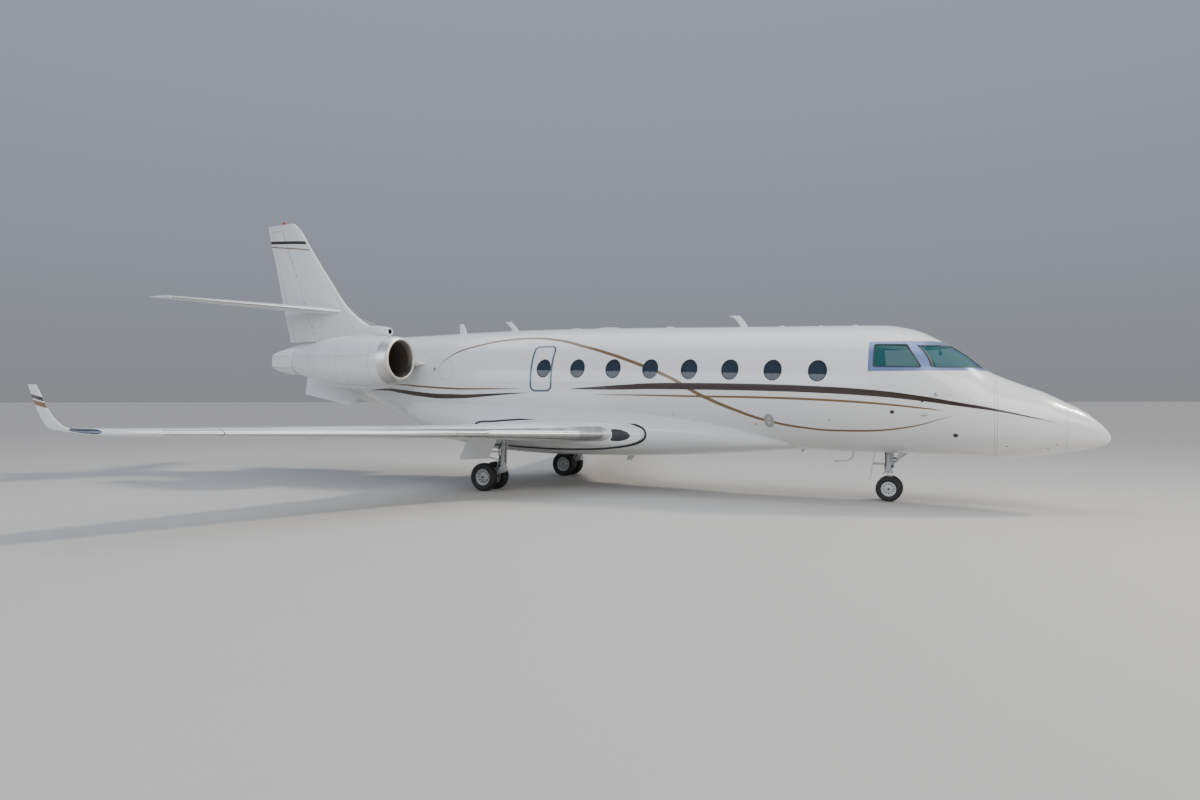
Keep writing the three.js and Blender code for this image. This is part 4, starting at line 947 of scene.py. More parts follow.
def wingMesh(side):
    keys = list(np.linspace(0, 1, 4)) + list(np.linspace(1, 2, 12)) + list(np.linspace(2, 3, 20))
    keys += list(np.linspace(3, 4, 48)) + list(4 + np.linspace(0, 4, 56))
    rows = []
    for start, stop in (wing["flap"], wing["aileron"]):
        a, b = wingKey(start), wingKey(stop)
        keys += [a, b, wingKey(start - 0.5), wingKey(stop + 0.5)]
    keys = np.unique(np.round(keys, 6))
    for key, row in zip(keys, wingRowAt(keys)):
        inside = any(start - 0.01 <= row[0] <= stop + 0.01 for start, stop in (wing["flap"], wing["aileron"]))
        end = wing["hinge"] - (noseRadius(row) + wing["swing"]) / (row[3] - row[2]) if inside and key <= 4 else 1
        rows.append((row, end))
    rings = np.stack([foilRing(lambda q, sign, row=row: wingSurface(row, side, q, sign), end) for row, end in rows])
    mesh = loftMesh(rings)
    nose = []
    columns = rings.shape[1]
    middle = columns // 2
    mesh.materials.clear()
    for polygon in mesh.polygons:
        index = [v % columns for v in polygon.vertices]
        row = min(polygon.vertices) // columns
        isNose = len(index) == 4 and max(abs(v - middle) for v in index) <= 9 and 1760 < rows[row][0][0] < 8120
        nose.append(1 if isNose else 0)
    mesh.polygons.foreach_set("material_index", nose)
    return mesh


def makeSlantMarks(name, bands, seams=(), beyond=0.0):  # bands: label, station, height there, slope, half width
    tree, _, out = newGroup(name, [], [("Brown", "NodeSocketFloat"), ("Gold", "NodeSocketFloat"),
                                       ("Seam", "NodeSocketFloat")])
    along, y, z = bodyAxes(tree)
    totals = {"Brown": None, "Gold": None, "Seam": None}
    for label, station, height, slope, half in bands:
        line = maths(tree, "MULTIPLY_ADD", maths(tree, "SUBTRACT", along, station), slope, height)
        mask = within(tree, maths(tree, "SUBTRACT", z, line), 0.0, half, 0.003)
        if beyond:
            mask = maths(tree, "MULTIPLY", mask, maths(tree, "GREATER_THAN", maths(tree, "ABSOLUTE", y), beyond))
        totals[label] = mask if totals[label] is None else maths(tree, "MAXIMUM", totals[label], mask)
    for axis, centre, slope, start, half in seams:  # a line where one coordinate follows the other
        value = {"x": along, "y": y, "z": z}[axis[0]]
        other = {"x": along, "y": y, "z": z}[axis[1]]
        line = maths(tree, "MULTIPLY_ADD", maths(tree, "SUBTRACT", other, start), slope, centre)
        mask = within(tree, maths(tree, "SUBTRACT", value, line), 0.0, half, 0.002)
        totals["Seam"] = mask if totals["Seam"] is None else maths(tree, "MAXIMUM", totals["Seam"], mask)
    for label, value in totals.items():
        if value is not None:
            wire(tree, value, out.inputs[label])
    return tree


wingletMarks = makeSlantMarks("wing marks", [
    ("Brown", 13.24, 1.872, 0.19, 0.024), ("Gold", 13.19, 1.785, 0.16, 0.031)],
    beyond=8.4)
finMarks = makeSlantMarks("fin marks", [
    ("Brown", 18.85, 5.998, 0.085, 0.038), ("Gold", 18.85, 5.884, 0.138, 0.013)],
    [("xz", 16.35, 0.72, 4.2, 0.004), ("xz", 17.228, 0.4034, 3.32, 0.006), ("xz", 18.66, 0.285, 5.7, 0.004)])
wingPaint = paintMaterial("wingPaint", wingletMarks)
finPaint = paintMaterial("finPaint", finMarks)


def controlMesh(rows, normal):  # rows of hinge, trailing edge and nose radius, in metres
    rings = []
    normal = np.array(normal, float)
    for hinge, trailing, radius in rows:
        aft = trailing - hinge
        aft /= np.linalg.norm(aft)
        angle = np.linspace(0, math.pi, 16)
        arc = hinge + radius * (np.cos(angle)[:, None] * normal - np.sin(angle)[:, None] * aft)
        edge = wing["edge"] * mm
        middle = [arc[-1] + (trailing - edge * normal - arc[-1]) * t for t in (0.25, 0.5, 0.75, 1)]
        back = [trailing + edge * normal + (arc[0] - trailing - edge * normal) * t for t in (0, 0.25, 0.5, 0.75)]
        rings.append(np.concatenate([arc, middle, back]))
    return loftMesh(np.stack(rings))


def wingControlRows(start, stop, side, count):
    rows = []
    for row in wingRowAt([wingKey(y) for y in np.linspace(start, stop, count)]):
        ends = []
        for share in (wing["hinge"], 1.0):
            ends.append((wingSurface(row, side, share, 1) + wingSurface(row, side, share, -1)) / 2)
        rows.append((ends[0], ends[1], noseRadius(row) * mm))
    return rows


def wingPatch(side, keys, upper, lower, lift=1.6, thick=3.0, power=0):  # a thin cover wrapped on the leading edge
    shares = np.concatenate([-(np.linspace(1, 0, 14) ** 1.6) * lower, (np.linspace(0, 1, 14)[1:] ** 1.6) * upper])
    rows = wingRowAt(keys)
    outer, inner = [], []
    for row, t in zip(rows, np.linspace(-0.995, 0.995, len(rows))):
        ease = (1 - abs(t) ** power) ** 1.2 if power else 1
        for grow, target in ((lift, outer), (lift - thick, inner)):
            points = [wingSurface(row, side, abs(q) * ease, 1 if q >= 0 else -1, grow) for q in shares]
            target.append(np.array(points))
    outer, inner = np.stack(outer), np.stack(inner)
    rings = np.concatenate([outer, inner[:, ::-1]], axis=1)
    return loftMesh(rings)


def canoe(side, y):
    row = wingRowAt([wingKey(y)])[0]
    start = row[2] + 0.5 * (row[3] - row[2])
    stop = row[3] + 120
    middle = row[1] - 0.16 * row[4] - 20
    share = (1 - np.cos(np.linspace(0.06, math.pi - 0.06, 30))) / 2
    size = np.sin(math.pi * share) ** 0.6
    angle = ringAngles(28)
    rings = np.stack([np.stack([
        np.full(28, float(alongX(start + s * (stop - start)))), side * (y + 48 * k * np.cos(angle)) * mm,
        (middle + 78 * k * np.sin(angle)) * mm], axis=1) for s, k in zip(share, size)])
    return loftMesh(rings)


def wingPieces():
    for side, sideName in ((-1, "right"), (1, "left")):
        dress(f"wing_{sideName}_skin", wingMesh(side), [wingPaint, brightMetal], "airframe", f"wing_{sideName}",
              slot="white_paint", angle=40)
        for kind, body, count in (("flap", "airframe", 24), ("aileron", f"aileron_{sideName}", 16)):
            mesh = controlMesh(wingControlRows(*wing[kind], side, count), (0, 0, 1))
            dress(f"{kind}_{sideName}_skin", mesh, wingPaint, body, f"{kind}_{sideName}", slot="white_paint",
                  angle=40)
        covers = [canoe(side, y) for y in wing["tracks"]]
        dress(f"flap_tracks_{sideName}", covers, whitePaint, "airframe", slot="white_paint", angle=50)
        dress(f"tip_light_{sideName}", wingPatch(side, np.linspace(5.02, 6.15, 22), 0.16, 0.10, 1.4, power=5),
              lampGlass, "airframe", slot="glass")
        metal = wingPatch(side, list(np.linspace(1.80, 2, 8)) + list(np.linspace(2.02, 2.22, 8)), 0.075, 0.08, 1.2)
        dress(f"root_edge_{sideName}", metal, softMetal, "airframe", slot="gear_metal")
        light = wingPatch(side, np.linspace(1.30, 1.78, 26), 0.036, 0.04, 2.0, power=3)
        dress(f"landing_light_{sideName}", light, blackPlastic, "airframe", slot="panel_black")
        bars = [wingPatch(side, np.linspace(k, k + 0.012, 3), 0.016, 0.018, 3.2)
                for k in (1.38, 1.46, 1.54, 1.62, 1.70)]
        dress(f"landing_light_bars_{sideName}", bars, darkMetal, "airframe", slot="dark_metal")
        joint = [wingPatch(side, [k, k + 0.002], 0.10, 0.08, 0.5, 1.3) for k in (2.35, 3.12, 3.8)]
        dress(f"edge_joints_{sideName}", joint, sealDark, "airframe", slot="panel_black")


lampGlass = plainMaterial("lampGlass", (0.03, 0.05, 0.09), gloss=0.06, scale=14, tint=0.5, bump=0, coat=0.9)
fairingPieces()
wingPieces()
print("wings made")

# Fin, rudder, tailplane and elevators

finSections = [  # height, leading and trailing station, thickness
    [3150, 14900, 18130, 250], [3500, 15200, 18215, 250], [3785, 15720, 18296, 235], [4219, 16265, 18415, 215],
    [4751, 16690, 18543, 180], [5510, 17275, 18738, 145], [5900, 17560, 18850, 128], [6270, 17830, 18950, 112],
    [6425, 18020, 18968, 92],
]
rudder = {"foot": (17290, 3320), "head": (18480, 6270)}
beacon = {"station": 18400, "top": 6530}
ramInlet = {"station": 14850, "height": 3485}
tailplane = {
    "sections": [[40, 4090, 16350, 18120, 190], [3310, 4152, 18230, 18970, 80], [3380, 4153, 18400, 18955, 40]],
    "tilt": 0.06, "hinge": 0.7, "elevator": [420, 3280],
}


def finRowAt(height):
    return smoothRows(finSections, height)[0]


def rudderStation(height):
    (s0, z0), (s1, z1) = rudder["foot"], rudder["head"]
    return s0 + (height - z0) / (z1 - z0) * (s1 - s0)


def rudderRadius(height):
    lead, trail, thick = finRowAt(height)
    return float(profileHalf((rudderStation(height) - lead) / (trail - lead))) * thick - 1


def uprightRing(height, lead, trail, thick, end):
    def surface(q, sign):
        half = np.where(q == 0, 0, np.maximum(profileHalf(q) * thick, wing["edge"]))
        return np.stack([alongX(lead + q * (trail - lead)), sign * half * mm, np.full(q.shape, height * mm)], axis=1)
    return foilRing(surface, end)


def finPieces():
    foot, head = rudder["foot"][1] - 6.3, rudder["head"][1] + 8
    top = finSections[-1][0]
    heights = sorted(set(np.round(np.concatenate([np.linspace(3150, foot, 6), np.linspace(foot, head, 70),
                                                  [head + 0.5], np.linspace(head + 1, top, 16)]), 3)))
    rings = []
    for height in heights:
        lead, trail, thick = finRowAt(height)
        end = 1
        if height <= head:
            cut = rudderStation(height) - rudderRadius(height) * 1.06 - 8
            end = (cut - lead) / (trail - lead)
        rings.append(uprightRing(height, lead, trail, thick, end))
    for share in (0.5, 0.8, 0.95):
        lead, trail, thick = finRowAt(top)
        rings.append(uprightRing(top + 14 * share, lead + 40 * share ** 2, trail - 20 * share ** 2,
                                 thick * math.sqrt(1 - share ** 2), 1))
    mesh = loftMesh(np.stack(rings))
    columns = rings[0].shape[0]
    marks = []
    for polygon in mesh.polygons:
        index = [v % columns for v in polygon.vertices]
        row = min(polygon.vertices) // columns
        isNose = len(index) == 4 and max(abs(v - columns // 2) for v in index) <= 6 and 8 < row < len(rings) - 22
        marks.append(1 if isNose else 0)
    mesh.polygons.foreach_set("material_index", marks)
    dress("fin_skin", mesh, [finPaint, whitePaint], "airframe", "fin", slot="white_paint", angle=40)
    rows = []
    for height in np.linspace(rudder["foot"][1], rudder["head"][1], 30):
        lead, trail, thick = finRowAt(height)
        hinge = np.array([float(alongX(rudderStation(height))), 0, height * mm])
        rows.append((hinge, np.array([float(alongX(trail)), 0, height * mm]), rudderRadius(height) * mm))
    dress("rudder_skin", controlMesh(rows, (0, 1, 0)), finPaint, "rudder", "rudder", slot="white_paint", angle=40)


def tailplanePieces():
    low, high = tailplane["elevator"]
    steps = list(np.linspace(40, high + 5.5, 40)) + [high + 6] + list(np.linspace(3292, 3380, 12))
    for side, sideName in ((-1, "right"), (1, "left")):
        rings, controls = [], []

        def at(y, q, sign, half):
            z, lead, trail, _ = straightRows(tailplane["sections"], y)[0]
            chord = trail - lead
            return np.stack([alongX(lead + q * chord), np.full(np.shape(q), side * y * mm),
                             (z + sign * half + tailplane["tilt"] * chord * (q - 0.4)) * mm], axis=-1)

        for y in steps:
            z, lead, trail, thick = straightRows(tailplane["sections"], y)[0]
            radius = float(profileHalf(tailplane["hinge"])) * thick - 1
            end = tailplane["hinge"] - (radius + 6) / (trail - lead) if y < high + 5.7 else 1

            def surface(q, sign, y=y, thick=thick):
                return at(y, q, sign, np.where(q == 0, 0, np.maximum(profileHalf(q) * thick, wing["edge"])))

            rings.append(foilRing(surface, end))
        for y in np.linspace(low, high, 26):
            thick = straightRows(tailplane["sections"], y)[0][3]
            hinge, edge = (at(y, np.array(q), 0, 0.0) for q in (tailplane["hinge"], 1.0))
            controls.append((hinge, edge, (float(profileHalf(tailplane["hinge"])) * thick - 1) * mm))
        mesh = loftMesh(np.stack(rings))
        columns = rings[0].shape[0]
        marks = [1 if len(p.vertices) == 4 and max(abs(v % columns - columns // 2) for v in p.vertices) <= 8 else 0
                 for p in mesh.polygons]
        mesh.polygons.foreach_set("material_index", marks)
        dress(f"tailplane_{sideName}_skin", mesh, [whitePaint, brightMetal], "airframe", f"tailplane_{sideName}",
              slot="white_paint", angle=40)
        dress(f"elevator_{sideName}_skin", controlMesh(controls, (0, 0, 1)), whitePaint, f"elevator_{sideName}",
              f"elevator_{sideName}", slot="white_paint", angle=40)


def finFittings():
    aft = np.concatenate([[-20, -14, -6, 0], np.linspace(20, 1500, 36)])
    rows = smoothRows([[-20, 0, 88], [0, 0, 96], [120, 12, 112], [500, 40, 130], [1100, 60, 115], [1500, 66, 60]], aft)
    angles = ringAngles(48)

    def ring(along, up, radius):
        return np.stack([np.full(48, float(alongX(ramInlet["station"] + along))), radius * np.cos(angles) * mm,
                         (ramInlet["height"] + up + radius * np.sin(angles)) * mm], axis=1)

    outer = [ring(a, up, r) for a, (up, r) in zip(aft, rows)]
    inner = [ring(a, 0, r) for a, r in ((380, 56), (200, 57), (40, 58), (0, 62), (-14, 70))]
    duct = newPiece("ram_inlet", loftMesh(np.stack(inner + outer)), [whitePaint, lampClear, darkMetal])
    # the inner rows take dark metal as painted shade deep in the inlet
    for polygon in duct.data.polygons:
        row = min(polygon.vertices) // 48
        polygon.material_index = 2 if row < 3 else (1 if row < 9 else 0)
    carry(shadeByAngle(duct, 45), "airframe", slot="white_paint")
    base = finSections[-1][0] - 12
    rise = beacon["top"] - base
    profile = [(0, 0.001), (0, 50), (0.1 * rise, 52), (0.16 * rise, 44)]
    dome = [(0.16 * rise, 42), (0.4 * rise, 40)] + [
        (rise * (0.4 + 0.6 * math.sin(t)), 40 * math.cos(t)) for t in np.linspace(0.15, math.pi / 2 - 0.02, 10)]

    def upright(profile):
        rings = revolve(profile, 32)
        points = np.stack([rings[..., 2] * mm + float(alongX(beacon["station"])), rings[..., 1] * mm,
                           -rings[..., 0] * mm + base * mm], axis=2)
        return loftMesh(points)

    dress("beacon_base", upright(profile), softMetal, "airframe", slot="gear_metal")
    dress("beacon_lens", upright(dome), lampRed, "airframe", slot="glass")


finPieces()
tailplanePieces()
finFittings()
print("tail made")


# Engines

engine = {
    "out": 1750, "station": 13030, "height": 2628, "slope": 0.024, "rise": 66, "reach": 700, "sides": 112,
    "lipOut": 235, "lipIn": 150, "fanFace": 700,
    "outer": [[0, 412], [16, 456], [70, 490], [180, 520], [420, 555], [900, 579], [1450, 571], [1850, 538],
              [2250, 458], [2670, 355], [2860, 318]],
    "inner": [[0, 412], [10, 402], [60, 392], [300, 378], [760, 420], [1500, 430], [2100, 402], [2570, 335],
              [2860, 292]],
    "core": [[920.3, 88], [980, 250], [1120, 300], [2080, 300], [2380, 225], [2720, 90], [2800, 4]],
    "bucket": [[2860.3, 316], [3210, 296], [3560, 262]], "bucketWall": 34,
    "bucketCut": [[2850, 340], [3090, 303], [3330, 262], [3470, 212], [3570, 138]],
    "beam": {"from": 2860.3, "to": 3570, "half": 138, "inner": 236, "outer": 322},
    "lobes": 12,
    "mixer": [[2150, 312, 0], [2300, 300, 8], [2450, 276, 26], [2600, 252, 38], [2700, 238, 42],
              [2700, 234, 42], [2600, 248, 38], [2450, 272, 26], [2300, 296, 8], [2150, 308, 0]],
}
bladeRows = {  # how many stand round the core, and their section
    "struts": (10, {"radii": (240, 330, 425.35), "middle": -1250, "reach": 70, "thick": 13}),
    "vanes": (36, {"radii": (291.56, 354.6, 417.64), "middle": -1040, "reach": 45, "thick": 2.5, "lean": 10.5}),
}
fanShape = {"tip": 396, "hub": 118, "front": 690, "back": 920, "blades": 22, "middle": 850}


def enginePoints(points, side):  # from the engine's own frame, in millimetres, to the part's
    points = np.asarray(points, float)
    tilt = math.atan(engine["slope"])
    x, y, z = points[..., 0], points[..., 1], points[..., 2]
    return np.stack([
        float(alongX(engine["station"])) + (x * math.cos(tilt) + z * math.sin(tilt)) * mm,
        (side * engine["out"] + y) * mm,
        (engine["height"] - x * math.sin(tilt) + z * math.cos(tilt)) * mm], axis=-1)


def lifted(points):
    aft = np.clip(-points[..., 0], 0, None)
    points = points.copy()
    points[..., 2] += np.where(aft < engine["reach"], engine["rise"] * (1 - aft / engine["reach"]) ** 2, 0)
    return points


def engineLoop(rings, side):  # rings whose last row joins the first
    rings = np.asarray(rings, float)
    return meshFrom(enginePoints(rings, side).reshape(-1, 3), loopFaces(*rings.shape[:2]))


def loftEngine(rings, side):
    return loftMesh(enginePoints(rings, side))


def nacelleMesh(side):
    along = np.concatenate([[0], 2860 * np.linspace(0.03, 1, 70) ** 1.8])
    back = np.concatenate([np.linspace(2860, 700, 30), 700 * np.linspace(0.97, 0.03, 26) ** 1.8])
    outer = smoothRows(engine["outer"], along, 60)[:, 0]
    inner = smoothRows(engine["inner"], back, 60)[:, 0]
    profile = np.concatenate([np.stack([along, outer], axis=1), np.stack([back, inner], axis=1)])
    mesh = engineLoop(lifted(revolve(profile, engine["sides"])), side)
    count, columns = len(along), engine["sides"]
    marks = []
    for polygon in mesh.polygons:
        row = min(v // columns for v in polygon.vertices)
        last = max(v // columns for v in polygon.vertices)
        if row == 0 and last > 5:
            row = last
        u = profile[row][0]
        if row < count:
            marks.append(1 if u < engine["lipOut"] else 0)
        else:
            # inside, the duct between lip and fan takes the third material, a dark brown that is painted shade inside
            # the intake
            marks.append(1 if u < engine["lipIn"] else (2 if u < engine["fanFace"] else 3))
    mesh.polygons.foreach_set("material_index", marks)
    return mesh


def bladeMesh():
    rings = []
    for share in np.linspace(0, 1, 12):
        radius = fanShape["hub"] - 8 + share * (fanShape["tip"] - fanShape["hub"] + 8)
        stagger = math.radians(26 + 38 * share)
        half = 62 + 26 * share - 10 * share ** 6
        thick = 5.0 - 3.6 * share
        chord = np.linspace(-1, 1, 11)
        camber = 10 * (1 - chord ** 2) * (1 - 0.6 * share)
        body = thick * np.sqrt(np.clip(1 - chord ** 2, 0.02, 1))
        across = np.concatenate([camber + body, (camber - body)[::-1]])
        along = np.concatenate([chord, chord[::-1]]) * half
        sweep = 22 * share ** 2
        x = along * math.cos(stagger) - across * math.sin(stagger) - fanShape["middle"] - sweep
        y = along * math.sin(stagger) + across * math.cos(stagger)
        rings.append(np.stack([x, y, np.full(y.shape, radius)], axis=1))
    return loftMesh(np.stack(rings) * mm)


def startTree(name, sockets):  # a modifier's tree with geometry in and out and the named inputs
    tree = bpy.data.node_groups.new(name, "GeometryNodeTree")
    tree.interface.new_socket("Geometry", in_out="INPUT", socket_type="NodeSocketGeometry")
    keys = [tree.interface.new_socket(label, in_out="INPUT", socket_type="NodeSocket" + kind).identifier
            for label, kind in sockets.items()]
    tree.interface.new_socket("Geometry", in_out="OUTPUT", socket_type="NodeSocketGeometry")
    return tree, keys, tree.nodes.new("NodeGroupInput"), tree.nodes.new("NodeGroupOutput")


def endTree(tree, given, out, spread):  # the copies are made real and take their material
    real = tree.nodes.new("GeometryNodeRealizeInstances")
    paint = tree.nodes.new("GeometryNodeSetMaterial")
    wire(tree, spread.outputs[0], real.inputs[0])
    wire(tree, real.outputs[0], paint.inputs["Geometry"])
    wire(tree, given.outputs["Material"], paint.inputs["Material"])
    wire(tree, paint.outputs[0], out.inputs[0])


def applied(piece, tree, keys, values):
    modifier = piece.modifiers.new(tree.name, "NODES")
    modifier.node_group = tree
    for key, value in zip(keys, values):
        modifier[key] = value
    return settled(piece)


def makeRingTree():  # copies of the piece's mesh set round the X axis
    tree, keys, given, out = startTree("ring of copies", {"Count": "Int", "Material": "Material"})
    points = tree.nodes.new("GeometryNodePoints")
    wire(tree, given.outputs["Count"], points.inputs["Count"])
    step = maths(tree, "DIVIDE", 2 * math.pi, given.outputs["Count"])
    angles = tree.nodes.new("ShaderNodeCombineXYZ")
    wire(tree, maths(tree, "MULTIPLY", tree.nodes.new("GeometryNodeInputIndex").outputs[0], step), angles.inputs[0])
    spread = tree.nodes.new("GeometryNodeInstanceOnPoints")
    wire(tree, points.outputs[0], spread.inputs["Points"])
    wire(tree, given.outputs["Geometry"], spread.inputs["Instance"])
    wire(tree, angles.outputs[0], spread.inputs["Rotation"])
    endTree(tree, given, out, spread)
    return tree, keys


ringTree = makeRingTree()


def ringOf(mesh, count, material):  # the mesh repeated round the X axis, as a plain mesh
    seed = bpy.data.objects.new("seed", mesh)
    bpy.context.scene.collection.objects.link(seed)
    made = applied(seed, *ringTree, (count, material)).data
    bpy.data.objects.remove(seed)
    made.materials.clear()
    return made


def moved(mesh, matrix):
    mesh.transform(matrix)
    return mesh


def engineMatrix(side):
    tilt = math.atan(engine["slope"])
    return Matrix.Translation((float(alongX(engine["station"])), side * engine["out"] * mm, engine["height"] * mm)) \
        @ Matrix.Rotation(tilt, 4, "Y")


def fanPieces(side, sideName):
    blades = moved(ringOf(bladeMesh(), fanShape["blades"], fanMetal), engineMatrix(side))
    dress(f"fan_blades_{sideName}", blades, fanMetal, f"fan_{sideName}", slot="polished_metal")
    hub, front = fanShape["hub"], fanShape["front"]
    share = np.linspace(0.03, 1, 20)
    profile = [(front + 90 * s ** 1.6, hub * math.sqrt(s) * (1.12 - 0.12 * s)) for s in share]
    profile += [(fanShape["back"] - 3, hub), (fanShape["back"], hub - 8), (fanShape["back"], 2)]
    dress(f"spinner_{sideName}", loftEngine(revolve(profile, 64), side), brightMetal, f"fan_{sideName}",
          f"fan_{sideName}", slot="polished_metal")


def thinBlade(radii, middle, reach, thick, lean=0.0):  # a lens-shaped section carried out along the radii
    chord = np.concatenate([np.linspace(-1, 1, 9), np.linspace(1, -1, 9)[1:-1]])
    half = np.sqrt(np.clip(1 - chord ** 2, 0.03, 1)) * np.where(np.arange(16) < 9, 1, -1) * thick
    return loftMesh(np.stack([np.stack([middle + chord * reach, half + lean * chord ** 2, np.full(16, radius)], axis=1)
                              for radius in radii]) * mm)


def corePieces(side, sideName):
    along = np.linspace(920.3, 2800, 60)
    core = loftEngine(revolve(np.column_stack([along, smoothRows(engine["core"], along)[:, 0]]), 64), side)

    def bladeRow(key, material):
        count, section = bladeRows[key]
        return moved(ringOf(thinBlade(**section), count, material), engineMatrix(side))

    struts, vanes = bladeRow("struts", darkMetal), bladeRow("vanes", softMetal)
    mixer = []
    angle = ringAngles(192)
    for u, radius, lobe in engine["mixer"]:
        r = radius + lobe * np.cos(engine["lobes"] * angle)
        mixer.append(np.stack([np.full(192, -float(u)), r * np.cos(angle), r * np.sin(angle)], axis=1))
    mixer = engineLoop(np.stack(mixer), side)
    dress(f"engine_core_{sideName}", [core, struts, mixer], darkMetal, "airframe", f"engine_{sideName}",
          slot="dark_metal")
    dress(f"guide_vanes_{sideName}", vanes, softMetal, "airframe", slot="polished_metal")


def reverserPiece(side, sideName):
    along = np.linspace(2860.3, 3560, 26)
    outer = smoothRows(engine["bucket"], along)[:, 0]
    profile = np.concatenate([np.stack([along, outer], axis=1),
                              np.stack([along, outer - engine["bucketWall"]], axis=1)[::-1]])
    rings = revolve(profile, 96)
    shell = newPiece("bucket", meshFrom(rings.reshape(-1, 3) * mm, loopFaces(*rings.shape[:2])), nacellePaint)
    along = np.linspace(2850, 3570, 24)
    upper = [(-a * mm, h * mm) for a, h in zip(along, smoothRows(engine["bucketCut"], along)[:, 0])]
    outline = upper + [(a, -h) for a, h in upper[::-1]]
    carved(shell, prism(outline, "y", -0.6, 0.6), "INTERSECT")
    beam = engine["beam"]
    beams = []
    for hand in (-1, 1):
        corners = [(-beam["from"], beam["inner"]), (-beam["from"], beam["outer"]),
                   (-beam["to"] + 60, beam["outer"] - 22), (-beam["to"], beam["inner"] + 8)]
        rings = []
        for z, shrink in ((-1, 0.9), (-0.93, 0.98), (-0.8, 1), (0.8, 1), (0.93, 0.98), (1, 0.9)):
            middle = np.mean(corners, axis=0)
            ring = roundedOutline([tuple(middle + (np.array(c) - middle) * shrink) for c in corners], 22, 5)
            rings.append([(x, hand * y, z * beam["half"]) for x, y in ring])
        beams.append(moved(loftMesh(np.array(rings) * mm), engineMatrix(side)))
    shell.data.transform(engineMatrix(side))
    mesh = joinMeshes([shell.data] + beams)
    bpy.data.objects.remove(shell)
    dress(f"reverser_{sideName}_doors", mesh, nacellePaint, "airframe", f"reverser_{sideName}", slot="white_paint",
          angle=40)
    ring = [[2861, 294], [2861, 324], [2872, 325], [2872, 293]]
    dress(f"nozzle_band_{sideName}", engineLoop(revolve(ring, 96), side), softMetal, "airframe", slot="gear_metal")


def pylonPiece(side, sideName):
    start, stop, thick, height = 12950, 15650, 160, 2652

    def ring(y):
        def surface(q, sign):
            half = np.where(q == 0, 0, np.maximum(profileHalf(q) * thick, wing["edge"]))
            return np.stack([alongX(start + q * (stop - start)), np.full(q.shape, side * y * mm),
                             (height + 0.024 * (stop - start) * (q - 0.5) + sign * half) * mm], axis=1)
        return foilRing(surface, 1)

    mesh = loftMesh(np.stack([ring(y) for y in np.linspace(640, 1236, 9)]))
    dress(f"pylon_{sideName}_skin", mesh, whitePaint, "airframe", f"pylon_{sideName}", slot="white_paint", angle=40)


def ventralPiece(side, sideName):
    root = [[15450, 1960], [17330, 2420]]
    edge = [[15560, 1690], [17010, 1960]]

    def corner(point, out):
        return np.array([float(alongX(point[0])), side * out * mm, point[1] * mm])

    a, b = (corner(p, 230) for p in root)
    c, d = (corner(p, 610) for p in edge)
    normal = np.cross(b - a, c - a)
    normal /= np.linalg.norm(normal)
    rings = []
    for t in np.concatenate([np.linspace(0, 0.94, 10), [0.98, 1.0]]):
        lead, trail = a + (c - a) * t, b + (d - b) * t
        thick = 0.034 * (1 if t < 0.95 else (0.75 if t < 0.99 else 0.3))
        shares = chordShares(1, 0.04, 6, 14)

        def surface(q, sign, lead=lead, trail=trail, thick=thick):
            half = np.clip(np.minimum(np.sqrt(q) * 3.2, (1 - q) * 4 + 0.12), 0, 1) * thick / 2
            return lead + (trail - lead) * q[:, None] + sign * half[:, None] * normal

        rings.append(np.concatenate([surface(shares[::-1], 1), surface(shares[1:], -1)]))
    dress(f"ventral_fin_{sideName}_skin", loftMesh(np.stack(rings)), whitePaint, "airframe",
          f"ventral_fin_{sideName}", slot="white_paint", angle=40)


nacelleMarks = makeSlantMarks("nacelle marks", [], [
    ("xz", 13.262, -0.024, 2.63, 0.003), ("xz", 13.475, -0.024, 2.63, 0.002), ("xz", 15.27, -0.024, 2.63, 0.003),
    ("zx", 2.735, 0.024, 13.03, 0.002), ("xz", 14.35, -0.024, 2.63, 0.0015)])
nacellePaint = paintMaterial("nacellePaint", nacelleMarks)
lipMetal = plainMaterial("lipMetal", (0.78, 0.75, 0.70), gloss=0.42, metallic=1.0, scale=5, tint=0.14, bump=0.02)
# painted shade: the dark brown of the intake duct stands in for the shade inside it
intakeShade = plainMaterial("intakeShade", (0.085, 0.068, 0.055), gloss=0.45, scale=6, tint=0.25, grain=500, bump=0.2)
fanMetal = plainMaterial("fanMetal", (0.42, 0.42, 0.42), gloss=0.3, metallic=1.0, scale=10, tint=0.2)

for side, sideName in ((-1, "right"), (1, "left")):
    dress(f"nacelle_{sideName}_skin", nacelleMesh(side), [nacellePaint, lipMetal, intakeShade, darkMetal], "airframe",
          f"nacelle_{sideName}", slot="white_paint", angle=50)
    fanPieces(side, sideName)
    corePieces(side, sideName)
    reverserPiece(side, sideName)
    pylonPiece(side, sideName)
    ventralPiece(side, sideName)
print("engines made")


# Landing gear

noseWheel = {"station": 3370, "radius": 224, "width": 126, "out": 130, "rim": 130}
noseLeg = {"radius": 55, "piston": 36, "collar": 500, "top": 1010, "axle": 20}
noseDoor = {"top": (3600, 900), "foot": (3700, 360), "half": 95, "thickness": 14}
mainWheel = {"station": 10820, "radius": 280, "width": 168, "out": 1690, "twin": 210, "rim": 165}
mainLeg = {"station": 10500, "radius": 62, "foot": 420, "top": 1045, "arm": 46, "axle": 28}
mainDoor = {"out": 2035, "thickness": 16, "outline": [(10390, 1110), (11080, 1110), (11330, 615), (10620, 665)]}


def tube(start, end, radius, sides=28, bevel=3.0):  # ends and radius in millimetres
    start, end = Vector(start), Vector(end)
    axis = (end - start).normalized()
    length = (end - start).length
    bevel = min(bevel, radius * 0.3, length * 0.3)
    turn = axis.to_track_quat("Z", "Y").to_matrix()
    rings = []
    for along, r in ((0, radius - bevel), (bevel, radius), (length - bevel, radius), (length, radius - bevel)):
        rings.append([start + turn @ Vector((r * math.cos(a), r * math.sin(a), along))
                      for a in turns(sides)])
    return loftMesh(np.array(rings, float) * mm)


